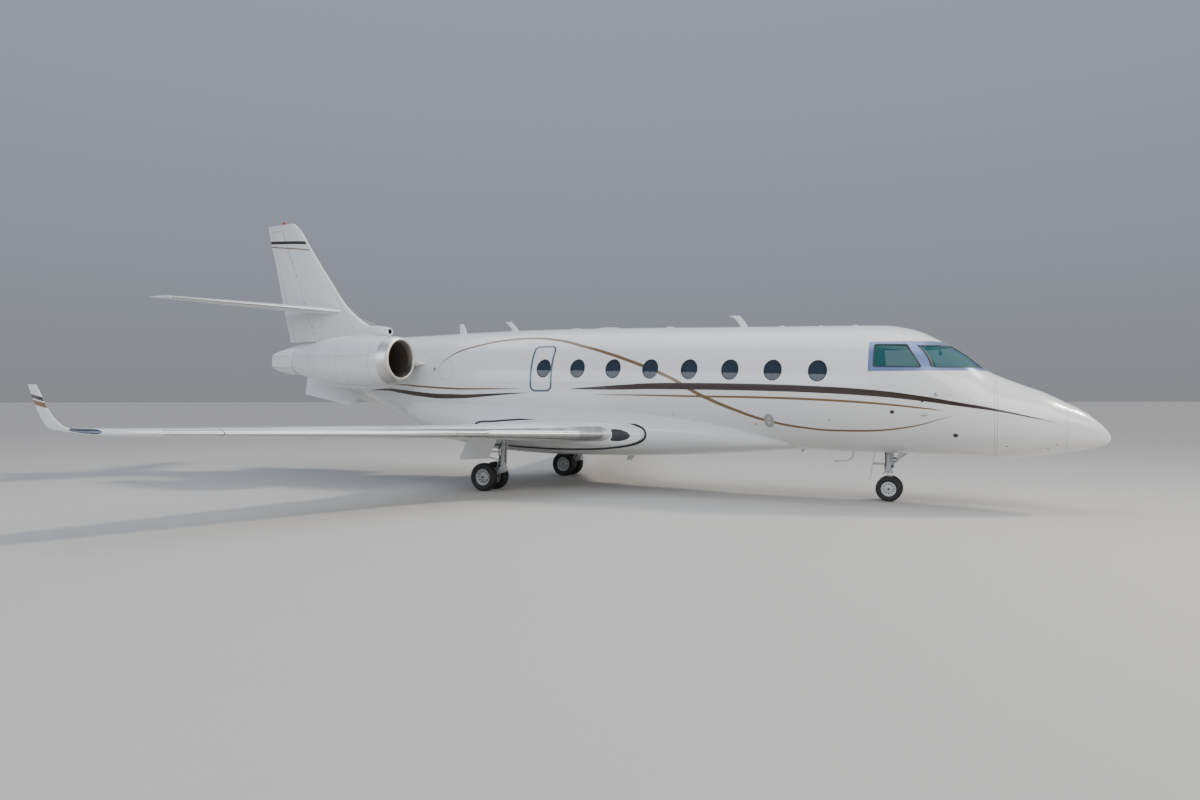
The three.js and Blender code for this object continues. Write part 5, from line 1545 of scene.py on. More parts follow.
def hose(points, radius, sides=12):  # a bent pipe through the points
    path = np.array(catmull(points, False, 8))
    tangent = np.gradient(path, axis=0)
    tangent /= np.linalg.norm(tangent, axis=1, keepdims=True)
    across = np.cross(tangent[0], (0.3, 0.5, 0.81))
    rings = []
    for point, along in zip(path, tangent):
        across = across - along * across.dot(along)
        across /= np.linalg.norm(across)
        up = np.cross(along, across)
        rings.append([point + radius * (math.cos(a) * across + math.sin(a) * up)
                      for a in turns(sides)])
    return loftMesh(np.array(rings) * mm)


def block(low, high, bevel=3.0):
    low, high = np.array(low, float), np.array(high, float)
    middle, half = (low + high) / 2, (high - low) / 2
    rings = []
    for z, shrink in ((-1, bevel), (-1, 0), (1, 0), (1, bevel)):
        corner = [(-half[0] + shrink, -half[1] + shrink), (half[0] - shrink, -half[1] + shrink),
                  (half[0] - shrink, half[1] - shrink), (-half[0] + shrink, half[1] - shrink)]
        lift = z * (half[2] - (bevel if shrink == 0 else 0))
        rings.append([(x, y, lift) for x, y in roundedOutline(corner, bevel + 0.5, 2)])
    return loftMesh((np.array(rings, float) + middle) * mm)


def aboutY(profile, sides=72, closed=True):  # profile [along y, radius] in millimetres
    angle = ringAngles(sides)
    rings = np.stack([np.stack([r * np.cos(angle), np.full(sides, y), r * np.sin(angle)], axis=1)
                      for y, r in np.array(profile, float)]) * mm
    return meshFrom(rings.reshape(-1, 3), loopFaces(*rings.shape[:2])) if closed else loftMesh(rings)


def at(mesh, x, y, z):
    return moved(mesh, Matrix.Translation((x * mm, y * mm, z * mm)))


def tyreMesh(radius, width, rim, grooves):
    half = width / 2
    side = radius - rim
    base = [(-0.60, 0.01), (-0.80, 0.07), (-0.93, 0.22), (-1.0, 0.42), (-1.0, 0.58), (-0.94, 0.75), (-0.84, 0.87)]
    profile = [(u * half, rim + v * side) for u, v in base]
    tread = []
    for k in range(grooves):
        middle = -0.62 + 1.24 * k / (grooves - 1)
        crown = 1 - 0.055 * (middle / 0.84) ** 2
        for offset, deep in ((-0.055, 0), (-0.035, 6.5), (0.035, 6.5), (0.055, 0)):
            tread.append(((middle + offset) * half, rim + crown * side - deep))
    profile += tread
    profile += [(-u * half, rim + v * side) for u, v in base[::-1]]
    top = max(r for _, r in profile)
    return aboutY([(y, r + (radius - top) * min(1, max(0, (r - rim) / side))) for y, r in profile], 84)


def swapped(mesh):  # a ring round X made a ring round Y, with its faces still outwards
    mesh.transform(Matrix(((0, 1, 0, 0), (1, 0, 0, 0), (0, 0, 1, 0), (0, 0, 0, 1))))
    mesh.flip_normals()
    return mesh


def wheelMesh(width, rim, side):  # seen from outside at +side
    half = width / 2
    face = half * 0.55
    profile = [(-half * 0.6, 20), (-half * 0.6, rim - 14), (-half * 0.66, rim - 2), (-half * 0.58, rim),
               (half * 0.60, rim), (half * 0.66, rim - 2), (half * 0.62, rim - 13), (half * 0.34, rim - 20),
               (half * 0.26, rim - 34), (half * 0.22, rim * 0.62), (half * 0.30, rim * 0.50),
               (half * 0.42, rim * 0.40), (face, rim * 0.33), (face + 3, rim * 0.26), (face + 3, 2)]
    return aboutY([(side * y, r) for y, r in profile], 84, False)


def wheelRing(steps, sides, out, side, count, material):  # a short stepped plug repeated round the wheel
    rings = [[(side * y, r * math.cos(a), out + r * math.sin(a)) for a in turns(sides)] for y, r in steps]
    return swapped(ringOf(loftMesh(np.array(rings) * mm), count, material))


# dark plugs where the wheel's holes are: painted shade standing in for open holes
def holeShadePlugs(width, rim, side, count):
    half, size = width / 2, rim * 0.088
    steps = ((half * 0.18, size), (half * 0.262, size), (half * 0.272, size * 0.86))
    return wheelRing(steps, 20, rim * 0.70, side, count, sealDark)


def wheelBolts(width, rim, side, count):
    half = width / 2
    steps = ((half * 0.2, 6.5), (half * 0.34, 6.5), (half * 0.36, 4.5))
    return wheelRing(steps, 6, rim * 0.53, side, count, chrome)


def wheelSet(name, body, spec, centre, nodes, count, rimPaint):
    x, y, z = centre
    half = spec["width"] / 2
    twin = spec.get("twin", spec["out"])
    for (tyreNode, side) in nodes["tyres"]:
        mesh = at(tyreMesh(spec["radius"], spec["width"], spec["rim"], 4), x, y + side * twin, z)
        dress(tyreNode + "_rubber", mesh, rubber, body, tyreNode, slot="tyre", angle=30)
    discs, holes, bolts = [], [], []
    for _, side in nodes["tyres"]:
        size, spot = (spec["width"], spec["rim"], side), (x, y + side * twin, z)
        discs.append(at(wheelMesh(*size), *spot))
        holes.append(at(holeShadePlugs(*size, count), *spot))
        bolts.append(at(wheelBolts(*size, count), *spot))
    axle = tube((x, y - twin - half * 0.5, z), (x, y + twin + half * 0.5, z), spec["axle"] - 0.5)
    dress(name + "_discs", discs + [axle], rimPaint, body, nodes["discs"], slot="gear_metal", angle=30)
    dress(name + "_holes", holes, sealDark, body, slot="dark_metal")
    caps = [tube((x, y + side * (twin + half * 0.55), z), (x, y + side * (twin + half * 0.55 + 9), z),
                 spec["rim"] * 0.16) for _, side in nodes["tyres"]]
    dress(name + "_bolts", bolts + caps, darkMetal, body, slot="dark_metal")


def noseGearPieces():
    x = spotX(noseWheel["station"])
    radius = noseWheel["radius"]
    wheelSet("nose_wheels", "nose_wheel_pair", {**noseWheel, "axle": noseLeg["axle"]}, (x, 0, radius), {
        "tyres": [("nose_tyre_right", -1), ("nose_tyre_left", 1)], "discs": "nose_wheels"}, 12, rimWhite)
    collar = noseLeg["collar"]
    fork = [
        aboutY([(-58, 21), (-58, 33), (-52, 36), (52, 36), (58, 33), (58, 21)], 40),
        tube((0, 0, 24), (0, 0, collar - radius - 2), noseLeg["piston"] - 1),
        tube((0, 0, 30), (0, 0, 74), 46), tube((0, 0, 200), (0, 0, 236), 44),
        block((-128, -22, 60), (-30, 22, 82)), tube((-118, -26, 71), (-118, 26, 71), 17),
    ]
    lower = [tube((-118, -20, 71), (-150, -16, 168), 11), tube((-118, 20, 71), (-150, 16, 168), 11),
             tube((-150, -24, 170), (-150, 24, 170), 13)]
    mesh = at(joinMeshes(fork + lower), x, 0, radius)
    dress("nose_fork_metal", mesh, softMetal, "nose_steering", "nose_fork", slot="gear_metal", angle=35)
    shine = at(tube((0, 0, 90), (0, 0, collar - radius - 3), noseLeg["piston"] - 0.4), x, 0, radius)
    dress("nose_piston", shine, chrome, "nose_steering", slot="polished_metal")
    leg = [
        tube((x, 0, collar + 1), (x, 0, noseLeg["top"]), noseLeg["radius"] - 1),
        tube((x, 0, collar + 1), (x, 0, collar + 34), 68),
        tube((x, 0, 640), (x, 0, 676), 66), tube((x, 0, 800), (x, 0, 826), 64),
        tube((x, 0, 620), (x + 420, 0, 985), 22), tube((x + 150, -20, 752), (x + 150, 20, 752), 30),
        tube((x + 420, -60, 985), (x + 420, 60, 985), 18), tube((x + 20, -52, 620), (x + 20, 52, 620), 26),
        block((x - 262, -18, 642), (x, 18, 678)), tube((x - 30, -78, 560), (x - 30, 78, 560), 25),
        tube((x - 30, -86, 560), (x - 30, -78, 560), 17), tube((x - 30, 78, 560), (x - 30, 86, 560), 17),
        tube((x - 60, -34, 536), (x - 116, -14, 478), 10), tube((x - 60, 34, 536), (x - 116, 14, 478), 10),
        tube((x + 40, -42, 700), (x + 300, -42, 960), 11), tube((x + 40, 42, 700), (x + 300, 42, 960), 11),
        tube((x - 10, -70, 700), (x - 10, -70, 900), 15), tube((x - 10, 70, 730), (x - 10, 70, 930), 12),
    ]
    dress("nose_strut_metal", leg, gearPaint, "airframe", "nose_strut", slot="gear_metal", angle=35)
    valves = [block((x - 70, 30, 700), (x - 20, 74, 780), 5), block((x - 60, -76, 860), (x - 8, -40, 960), 5),
              tube((x - 66, -40, 640), (x - 66, 40, 640), 17), tube((x + 20, 50, 850), (x + 90, 50, 900), 16),
              block((x + 30, -60, 600), (x + 78, -20, 650), 4), tube((x - 10, 68, 590), (x - 10, 68, 690), 13),
              tube((x + 62, -58, 900), (x + 62, 58, 900), 12)]
    dress("nose_valves", valves, darkMetal, "airframe", slot="dark_metal")
    lamps = []
    for side in (-1, 1):
        lamps.append(tube((x + 70, side * 62, 742), (x + 118, side * 62, 742), 40, 36))
        lamps.append(tube((x + 40, side * 62, 742), (x + 72, side * 62, 742), 22))
    dress("taxi_lights", lamps, softMetal, "airframe", slot="gear_metal")
    glass = [tube((x + 117, side * 62, 742), (x + 121, side * 62, 742), 34, 36) for side in (-1, 1)]
    dress("taxi_light_glass", glass, lampClear, "airframe", slot="glass")
    pipes = []
    for side, wobble in ((-1, 0), (1, 14), (-1, 26)):
        pipes.append(hose([
            (x - 42, side * 46, 990), (x - 66, side * (52 + wobble), 860), (x - 60, side * (58 + wobble), 700),
            (x - 74, side * (50 + wobble), 590), (x - 44, side * 60, 545)], 5.5))
    pipes.append(hose([(x + 56, -30, 980), (x + 74, -40, 860), (x + 70, -46, 770), (x + 46, -58, 744)], 5))
    dress("nose_hoses", pipes, blackPlastic, "airframe", slot="panel_black")
    (s0, z0), (s1, z1), half = noseDoor["top"], noseDoor["foot"], noseDoor["half"]
    rings = []
    for offset, shrink in ((0, 3), (2.5, 0), (noseDoor["thickness"] - 2.5, 0), (noseDoor["thickness"], 3)):
        points = []
        foot = 1 - shrink / 540
        for y, t in [(-half + shrink, 0.0), (half - shrink, 0.0), (half - shrink, 0.86), (half * 0.72, foot),
                     (-half * 0.72, foot), (-half + shrink, 0.86)]:
            points.append((noseX / mm - (s0 + (s1 - s0) * t + offset), y, z0 + (z1 - z0) * t))
        rings.append(points)
    dress("nose_door_skin", loftMesh(np.array(rings) * mm), [whitePaint], "airframe", "nose_gear_door",
          slot="white_paint", angle=30)
    link = [tube((x - 262, 0, 660), (noseX / mm - 3644, 0, 660), 12), tube((x - 258, -40, 660), (x - 258, 40, 660), 14)]
    dress("nose_door_link", link, softMetal, "airframe", slot="gear_metal")
    inside = block((noseX / mm - 3717, -147, 1112), (noseX / mm - 2723, 147, 1117), 1)
    ribs = [block((noseX / mm - s - 8, -146, 1060), (noseX / mm - s + 8, 146, 1112), 1) for s in range(2800, 3700, 150)]
    dress("nose_well", [inside] + ribs, wellPaint, "airframe", slot="dark_metal")


def mainGearPieces():
    x = spotX(mainWheel["station"])
    legX = spotX(mainLeg["station"])
    radius = mainWheel["radius"]
    for side, sideName in ((-1, "right"), (1, "left")):
        y = side * mainWheel["out"]
        nodes = {"tyres": [(f"main_tyre_{sideName}_inner", -side), (f"main_tyre_{sideName}_outer", side)],
                 "discs": f"main_wheels_{sideName}"}
        wheelSet(f"main_wheels_{sideName}", f"main_wheel_pair_{sideName}", {**mainWheel, "axle": mainLeg["axle"]},
                 (x, y, radius), nodes, 12, rimGrey)
        foot = mainLeg["foot"]
        strut = [
            tube((legX, y, foot), (legX + 34, y, mainLeg["top"]), mainLeg["radius"] - 1),
            tube((legX, y - 62, foot + 10), (legX, y + 62, foot + 10), 70),
            tube((legX, y, foot + 10), (x, y, radius + 4), mainLeg["arm"]),
            at(aboutY([(-70, 29.5), (-70, 49), (-64, 52), (64, 52), (70, 49), (70, 29.5)], 44), x, y, radius),
            tube((legX, y - 74, foot + 10), (legX, y + 74, foot + 10), 30),
            tube((legX + 3, y, 520), (legX + 4, y, 560), 74),
            tube((legX + 26, y, 860), (legX + 28, y, 905), 76),
            tube((legX + 30, y, 930), (legX + 34, y - side * 470, 1085), 26),
            tube((legX + 14, y - 46, 800), (legX + 14, y + 46, 800), 26),
        ]
        dress(f"main_strut_{sideName}_metal", strut, gearPaint, "airframe", f"main_strut_{sideName}",
              slot="gear_metal", angle=35)
        low, high = Vector((x + 120, y, radius + 44)), Vector((legX + 10, y, 812))
        middle = low.lerp(high, 0.42)
        shock = [tube(low, middle, 20), tube(low.lerp(high, -0.02), low.lerp(high, 0.06), 34)]
        dress(f"main_oleo_{sideName}", shock, chrome, "airframe", slot="polished_metal")
        barrel = [tube(middle, high, 31), tube(middle, low.lerp(high, 0.48), 36), tube(low.lerp(high, 0.93), high, 36)]
        for w in (-130, 130):
            barrel += [tube((x, y + w * 0.62 - 14, radius), (x, y + w * 0.62 + 14, radius), 104, 40),
                       tube((x, y + w * 0.62 - 26, radius), (x, y + w * 0.62 + 26, radius), 78, 40)]
        dress(f"main_brakes_{sideName}", barrel, softMetal, "airframe", slot="gear_metal", angle=35)
        pipes = []
        for w, lean in ((-1, 0), (1, 0), (-1, 16), (1, 16)):
            pipes.append(hose([
                (legX + 40, y + w * 50, 1030), (legX - 62 - lean, y + w * 44, 850),
                (legX - 60 - lean, y + w * 40, 640), (legX - 90, y + w * 60, 500), (x + 110, y + w * 74, 420),
                (x + 60, y + w * 78, 372)], 6.5))
        pipes.append(hose([(legX + 80, y - 30, 1020), (legX + 88, y - 44, 880), (legX + 76, y - 50, 700),
                           (legX + 70, y - 40, 560)], 8))
        dress(f"main_hoses_{sideName}", pipes, blackPlastic, "airframe", slot="panel_black")
        plate = []
        for out, shrink in ((0, 4), (3, 0), (mainDoor["thickness"] - 3, 0), (mainDoor["thickness"], 4)):
            corners = mainDoor["outline"]
            centre = np.mean(corners, axis=0)
            shrunk = [tuple(np.array(c) - shrink * np.sign(np.array(c) - centre)) for c in corners]
            ring = [(noseX / mm - s, side * (mainDoor["out"] + out), z) for s, z in roundedOutline(shrunk, 46, 6)]
            plate.append(ring)
        dress(f"main_door_{sideName}_skin", loftMesh(np.array(plate) * mm), whitePaint, "airframe",
              f"main_gear_door_{sideName}", slot="white_paint", angle=30)
        arms = [tube((legX + 10, side * 1750, 780), (legX - 180, side * 2034, 800), 12),
                tube((legX + 10, side * 1750, 600), (legX - 260, side * 2034, 720), 10),
                block((legX - 300, min(side * 2016, side * 2034), 700),
                      (legX - 250, max(side * 2016, side * 2034), 1040), 3)]
        dress(f"main_door_arms_{sideName}", arms, softMetal, "airframe", slot="gear_metal")


rimWhite = plainMaterial("rimWhite", (0.66, 0.66, 0.65), gloss=0.32, scale=14, tint=0.2, bump=0.03, coat=0.3)
rimGrey = plainMaterial("rimGrey", (0.50, 0.50, 0.485), gloss=0.4, scale=16, tint=0.35, bump=0.04, metallic=0.3)
noseGearPieces()
mainGearPieces()
print("gear made")

# Small details


def blade(rows, thick):  # rows: leading station, trailing station, height; a thin swept aerial
    angle = ringAngles(20)
    rings = []
    for k, (lead, trail, height) in enumerate(rows):
        half = thick / 2 * (1 - 0.35 * k / (len(rows) - 1))
        s = (lead + trail) / 2 - (trail - lead) / 2 * np.cos(angle)
        rings.append(np.stack([alongX(s), half * np.sin(angle) * (0.75 + 0.25 * np.cos(angle)) * mm,
                               np.full(20, height * mm)], axis=1))
    return loftMesh(np.stack(rings))


def lump(station, height, halfs):  # a low dome on the plane of symmetry
    rings = []
    for share in (0.0, 0.35, 0.65, 0.85, 0.97):
        k = math.sqrt(1 - share ** 2)
        rings.append([(float(alongX(station)) + halfs[0] * k * math.cos(a) * mm, halfs[1] * k * math.sin(a) * mm,
                       (height + halfs[2] * share) * mm) for a in turns(24)])
    return loftMesh(np.array(rings))


def stud(station, height, side, radius, rise, oval=1.0):  # a disc lying on the body's side
    point = onSide(station, height, side)[0]
    normal = Vector(bodyNormal(np.array([point]))[0])
    turn = normal.to_track_quat("Z", "Y").to_matrix()
    rings = []
    for r, out in ((radius, -3), (radius, rise * 0.7), (radius * 0.9, rise)):
        rings.append([Vector(point) + turn @ Vector((r * math.cos(a) * mm, r * oval * math.sin(a) * mm, out * mm))
                      for a in turns(24)])
    return loftMesh(np.array(rings))


def crownZ(station):
    return float(sectionAt([station])[0][0])


def keelZ(station):
    return float(sectionAt([station])[1][0])


def aerialPieces():
    blades = [
        blade([(12570, 12770, crownZ(12670) - 12), (12610, 12772, 3470), (12660, 12774, 3560),
               (12672, 12768, 3572)], 20),
        blade([(11160, 11330, crownZ(11245) - 12), (11230, 11380, 3440), (11320, 11470, 3530), (11345, 11532, 3566),
               (11380, 11530, 3572)], 18),
        blade([(5950, 6105, crownZ(6030) - 12), (6010, 6150, 3330), (6090, 6240, 3428), (6118, 6328, 3462),
               (6150, 6326, 3468)], 18),
    ]
    low = [(8330, 8486, 668), (8390, 8530, 610), (8420, 8550, 562), (8430, 8546, 558)]
    blades.append(blade(low[::-1], 18))
    dress("blade_aerials", blades, whitePaint, "airframe", slot="white_paint", angle=50)
    domes = [lump(s, crownZ(s) - 4, h) for s, h in (
        (7575, (110, 45, 24)), (5300, (70, 60, 20)), (4573, (45, 45, 18)), (3964, (60, 50, 20)), (9720, (135, 60, 22)),
        (8970, (280, 110, 26)))]
    dress("crown_aerials", domes, whitePaint, "airframe", slot="white_paint", angle=60)
    masts = []
    for s in (4890, 5400, 5900):
        base = keelZ(s) + 10
        masts += [tube((spotX(s), 0, base), (spotX(s + 26), 0, base - 66), 9),
                  block((spotX(s + 60), -30, base - 16), (spotX(s - 30), 30, base - 6), 2)]
    tail = hose([(spotX(3990), 0, 872), (spotX(4010), 0, 770), (spotX(4090), 0, 704),
                 (spotX(4330), 0, 678)], 12)
    dress("drain_pipe", tail, gearPaint, "airframe", slot="gear_metal")
    dress("drain_masts", masts, darkMetal, "airframe", slot="dark_metal")


def probePieces():
    dark, pale, metal = [], [], []
    for side in (-1, 1):
        for s, z, r in ((2775, 1793, 19), (3239, 1616, 33), (1516, 1059, 14), (920, 1028, 12), (796, 1098, 12),
                        (5568, 1380, 16), (4260, 1470, 12), (7130, 1545, 13)):
            dark.append(stud(s, z, side, r, 1.2))
        pale.append(stud(5320, 1444, side, 92, 1.6, oval=1.6))
        metal.append(stud(5320, 1480, side, 26, 3.2))
        metal.append(stud(5320, 1408, side, 26, 3.2))
        metal.append(stud(2275, 1233, side, 46, 2.6))
        dark.append(stud(2275, 1233, side, 36, 4.0))
        metal.append(stud(2565, 1908, side, 34, 3.0))
        root = onSide(2560, 1908, side)[0] / mm
        tip = onSide(2320, 1907, side)[0] / mm
        out = side * 74
        metal.append(hose([root, (root[0] - 6, root[1] + out, root[2] - 4),
                           (root[0] + 60, root[1] + out + side * 8, root[2] - 4),
                           (tip[0], root[1] + out + side * 8, tip[2] - 4)], 8))
        vane = onSide(2700, 1560, side)[0] / mm
        metal.append(stud(2700, 1560, side, 30, 3.0))
        metal.append(tube(vane, (vane[0] - 30, vane[1] + side * 58, vane[2]), 7))
        metal.append(block((vane[0] - 96, vane[1] + side * 55 - 3, vane[2] - 15),
                           (vane[0] - 22, vane[1] + side * 55 + 3, vane[2] + 15), 1))
        metal.append(stud(12645, 2496, side, 34, 5.0, oval=1.3))
        pale.append(stud(12645, 2496, side, 24, 8.0, oval=1.3))
    dress("static_ports", dark, sealDark, "airframe", slot="panel_black")
    dress("side_plates", pale, softMetal, "airframe", slot="gear_metal")
    dress("probes", metal, brightMetal, "airframe", slot="polished_metal")


def finDotPieces():
    dots = []
    for z in (3520, 3700, 4330, 5060, 5240, 5420):
        s = rudderStation(z) - rudderRadius(z) * 1.06 - 34
        lead, trail, thick = finRowAt(z)
        half = float(profileHalf((s - lead) / (trail - lead))) * thick + 1.6
        dots.append(tube((spotX(s), -half, z), (spotX(s), half, z), 15, 16, 1))
    dress("fin_hinge_dots", dots, sealDark, "airframe", slot="panel_black")


def wickPieces():
    sets = {key: [] for key in ("rudder", "elevator_right", "elevator_left", "aileron_right", "aileron_left")}

    def wick(body, station, y, z, length):
        sets[body].append(tube((spotX(station - 12), y, z), (spotX(station + length), y, z), 2.6, 8, 1))

    for z in (5350, 5620, 5982, 6247):
        wick("rudder", float(finRowAt(z)[1]), 0, z, 92)
    for side, sideName in ((-1, "right"), (1, "left")):
        for y in (1900, 2500, 3100):
            z, lead, trail, _ = straightRows(tailplane["sections"], y)[0]
            wick(f"elevator_{sideName}", trail, side * y, z + tailplane["tilt"] * (trail - lead) * 0.6, 80)
        for y in (6700, 7400, 8100):
            row = wingRowAt([wingKey(y)])[0]
            wick(f"aileron_{sideName}", row[3], side * y, row[1], 90)
    for body, meshes in sets.items():
        dress(f"wicks_{body}", meshes, blackPlastic, body, slot="panel_black")


def rivetTree():  # a small fastener at every point of the given mesh, turned to its normal
    tree, keys, given, out = startTree("rivets", {"Radius": "Float", "Material": "Material"})
    head = addNode(tree, "GeometryNodeMeshUVSphere", {"Segments": 8, "Rings": 4})
    wire(tree, given.outputs["Radius"], head.inputs["Radius"])
    flat = addNode(tree, "GeometryNodeTransform", {"Scale": (1, 1, 0.35)})
    wire(tree, head.outputs["Mesh"], flat.inputs["Geometry"])
    normal = addNode(tree, "GeometryNodeInputNamedAttribute", {"Name": "facing"}, data_type="FLOAT_VECTOR")
    aim = tree.nodes.new("FunctionNodeAlignRotationToVector")
    wire(tree, normal.outputs["Attribute"], aim.inputs["Vector"])
    spread = tree.nodes.new("GeometryNodeInstanceOnPoints")
    wire(tree, given.outputs["Geometry"], spread.inputs["Points"])
    wire(tree, flat.outputs[0], spread.inputs["Instance"])
    wire(tree, aim.outputs[0], spread.inputs["Rotation"])
    endTree(tree, given, out, spread)
    return tree, keys


def rivetPieces():
    tree, keys = rivetTree()
    for side, sideName in ((-1, "right"), (1, "left")):
        points = []
        for outline, front in ((sidePane, False), (frontPane, True)):
            place = frontPlace(side) if front else sidePlace(side)
            middle = np.mean(outline, axis=0)
            for gap in (26, 58):
                grown = [tuple(np.array(c) + gap * np.sign(np.array(c) - middle)) for c in outline]
                ring = roundedOutline(grown, paneCorner + gap, 5)
                for k, point in enumerate(ring):
                    other = ring[(k + 1) % len(ring)]
                    count = max(1, int(round(math.dist(point, other) / 34)))
                    for t in range(count):
                        a = point[0] + (other[0] - point[0]) * t / count
                        b = point[1] + (other[1] - point[1]) * t / count
                        if not front or a > 22:
                            points.append(place(np.array([a]), np.array([b]), 0.4)[0])
        points = np.array(points)
        mesh = bpy.data.meshes.new("rivet_points")
        mesh.from_pydata(points.tolist(), [], [])
        facing = mesh.attributes.new("facing", "FLOAT_VECTOR", "POINT")
        facing.data.foreach_set("vector", bodyNormal(points).reshape(-1))
        piece = bpy.data.objects.new(f"frame_rivets_{sideName}", mesh)
        bpy.context.scene.collection.objects.link(piece)
        applied(piece, tree, keys, (0.0042, softMetal))
        carry(shadeByAngle(piece, 60), "airframe", slot="gear_metal")


stairs = {"count": 5, "station": 4150, "drop": 640, "rise": 250, "from": 3860, "to": 4440}


def doorPieces():
    treads, posts = [], []
    station, rise = stairs["station"], stairs["rise"]
    for i in range(stairs["count"]):
        axis = float(sectionAt([station])[3][0])
        z = axis - stairs["drop"] + rise * i
        body = float(sideY([station], [z])[0])
        low, high = min(780, body - 260), body - 84
        treads.append(block((spotX(stairs["to"]), low, z + 2), (spotX(stairs["from"]), high, z + 26), 5))
        if i < stairs["count"] - 1:
            for s in (stairs["from"] + 6, stairs["to"] - 6):
                upper = min(780, float(sideY([station], [z + rise])[0]) - 260)
                posts.append(tube((spotX(s), low + 14, z + 14), (spotX(s), upper + 14, z + 264), 7, 12, 1))
    dress("door_treads", treads, carpet, "entry_door", slot="carpet")
    dress("door_tread_rails", posts, chrome, "entry_door", slot="polished_metal")
    handle = [stud(4330, 2010, 1, 60, 1.6, oval=0.55), stud(4330, 2010, 1, 40, 4.5, oval=0.4)]
    dress("door_handle", handle, softMetal, "entry_door", slot="gear_metal")
    latch = [stud(12450, 2480, 1, 46, 2.0, oval=0.5), stud(12200, 2480, 1, 16, 2.0), stud(12700, 2480, 1, 16, 2.0)]
    dress("baggage_latches", latch, softMetal, "baggage_door", slot="gear_metal")


aerialPieces()
probePieces()
wickPieces()
finDotPieces()
rivetPieces()
doorPieces()
print("details made")

# Interior

seatPlaces = [(5450, -1), (6700, 1), (7700, -1), (8950, 1), (10300, 1)]
seat = {"out": 600, "pilotOut": 420, "pilotStation": 3150, "cap": 9, "voxel": 15, "frames": 20,
        "channel": 0.013}
floor = {"depth": 820, "thickness": 40, "half": 1150, "from": 1960, "to": 11180}
cabinAxis = {"station": 4900, "height": 2045, "slope": 0.024}
panelFace = {"foot": (2420, 1760), "head": (2560, 2180)}  # station and height


def floorTop(station):
    return cabinAxis["height"] + cabinAxis["slope"] * (station - cabinAxis["station"]) - floor["depth"]


def insideBody(grow, high):  # the hull's inner space, cut short aft
    return loftMesh(bodyRings(stationSteps(1890, high, 90), grow, 120))


def plumped(low, high, corner, channels=()):  # a padded form swollen by cloth simulation, flat below
    piece = newPiece("plumped", block(low, high, corner), leather)
    remesh = piece.modifiers.new("remesh", "REMESH")
    remesh.mode, remesh.voxel_size = "VOXEL", seat["voxel"] * mm
    soften = piece.modifiers.new("soften", "SMOOTH")
    soften.factor, soften.iterations = 0.5, 5
    settled(piece)
    start = vectorsOf(piece.data.vertices, "co")
    cloth = piece.modifiers.new("cloth", "CLOTH")
    cloth.settings.use_pressure = True
    cloth.settings.uniform_pressure_force = 4.0
    cloth.settings.effector_weights.gravity = 0
    cloth.settings.quality = 4
    cloth.point_cache.frame_start, cloth.point_cache.frame_end = 1, seat["frames"]
    for step in range(1, seat["frames"] + 1):
        bpy.context.scene.frame_set(step)
    settled(piece)
    bpy.context.scene.frame_set(1)
    shift = vectorsOf(piece.data.vertices, "co") - start
    length = np.linalg.norm(shift, axis=1, keepdims=True)
    cap = seat["cap"] * mm
    swollen = start + shift * np.minimum(1, cap / np.maximum(length, 1e-9))
    for axis, value, deep in channels:  # sewn channels pressed into the swollen form
        across = (swollen[:, axis] - value * mm) / seat["channel"]
        middle = (np.array(low) + np.array(high)) / 2 * mm
        sunk = deep * mm * np.exp(-across ** 2)
        normalAxis = 2 if axis == 0 else 0
        swollen[:, normalAxis] -= sunk * np.sign(swollen[:, normalAxis] - middle[normalAxis])
    swollen[:, 2] = np.maximum(swollen[:, 2], low[2] * mm)
    mesh = piece.data.copy()
    mesh.vertices.foreach_set("co", swollen.reshape(-1))
    mesh.polygons.foreach_set("use_smooth", [True] * len(mesh.polygons))
    bpy.data.objects.remove(piece)
    mesh.materials.clear()
    return mesh


def seatForms():  # the seat looks towards +X with its floor point at the origin
    cushion = plumped((-205, -212, 305), (248, 212, 448), 34, [(0, -60, 6), (0, 90, 6)])
    back = plumped((-318, -212, 395), (-222, 212, 880), 34, [(2, 560, 6), (2, 720, 6)])
    head = plumped((-316, -150, 905), (-228, 150, 1058), 30)
    return joinMeshes([cushion, back, head])


def seatFrame():
    arms = []
    for side in (-1, 1):
        low, high = sorted((side * 222, side * 266))
        arms += [block((-240, low, 560), (190, high, 612), 14), block((-225, low + 8, 300), (-170, high - 8, 565), 6),
                 block((110, low + 8, 300), (160, high - 8, 565), 6)]
    shell = [block((-338, -230, 330), (-316, 230, 1066), 10), block((-240, -232, 268), (262, 232, 306), 10)]
    legs = [block((-190, -96, 12), (190, 96, 60), 8), block((-130, -70, 58), (130, 70, 270), 12),
            tube((-322, -120, 860), (-322, -120, 1000), 8), tube((-322, 120, 860), (-322, 120, 1000), 8)]
    return joinMeshes(arms + shell), joinMeshes(legs)


def placed(mesh, station, y, facing):
    turn = Matrix.Rotation(0 if facing > 0 else math.pi, 4, "Z")
    shift = Matrix.Translation((float(alongX(station)), y * mm, floorTop(station) * mm))
    return moved(mesh.copy(), shift @ turn)


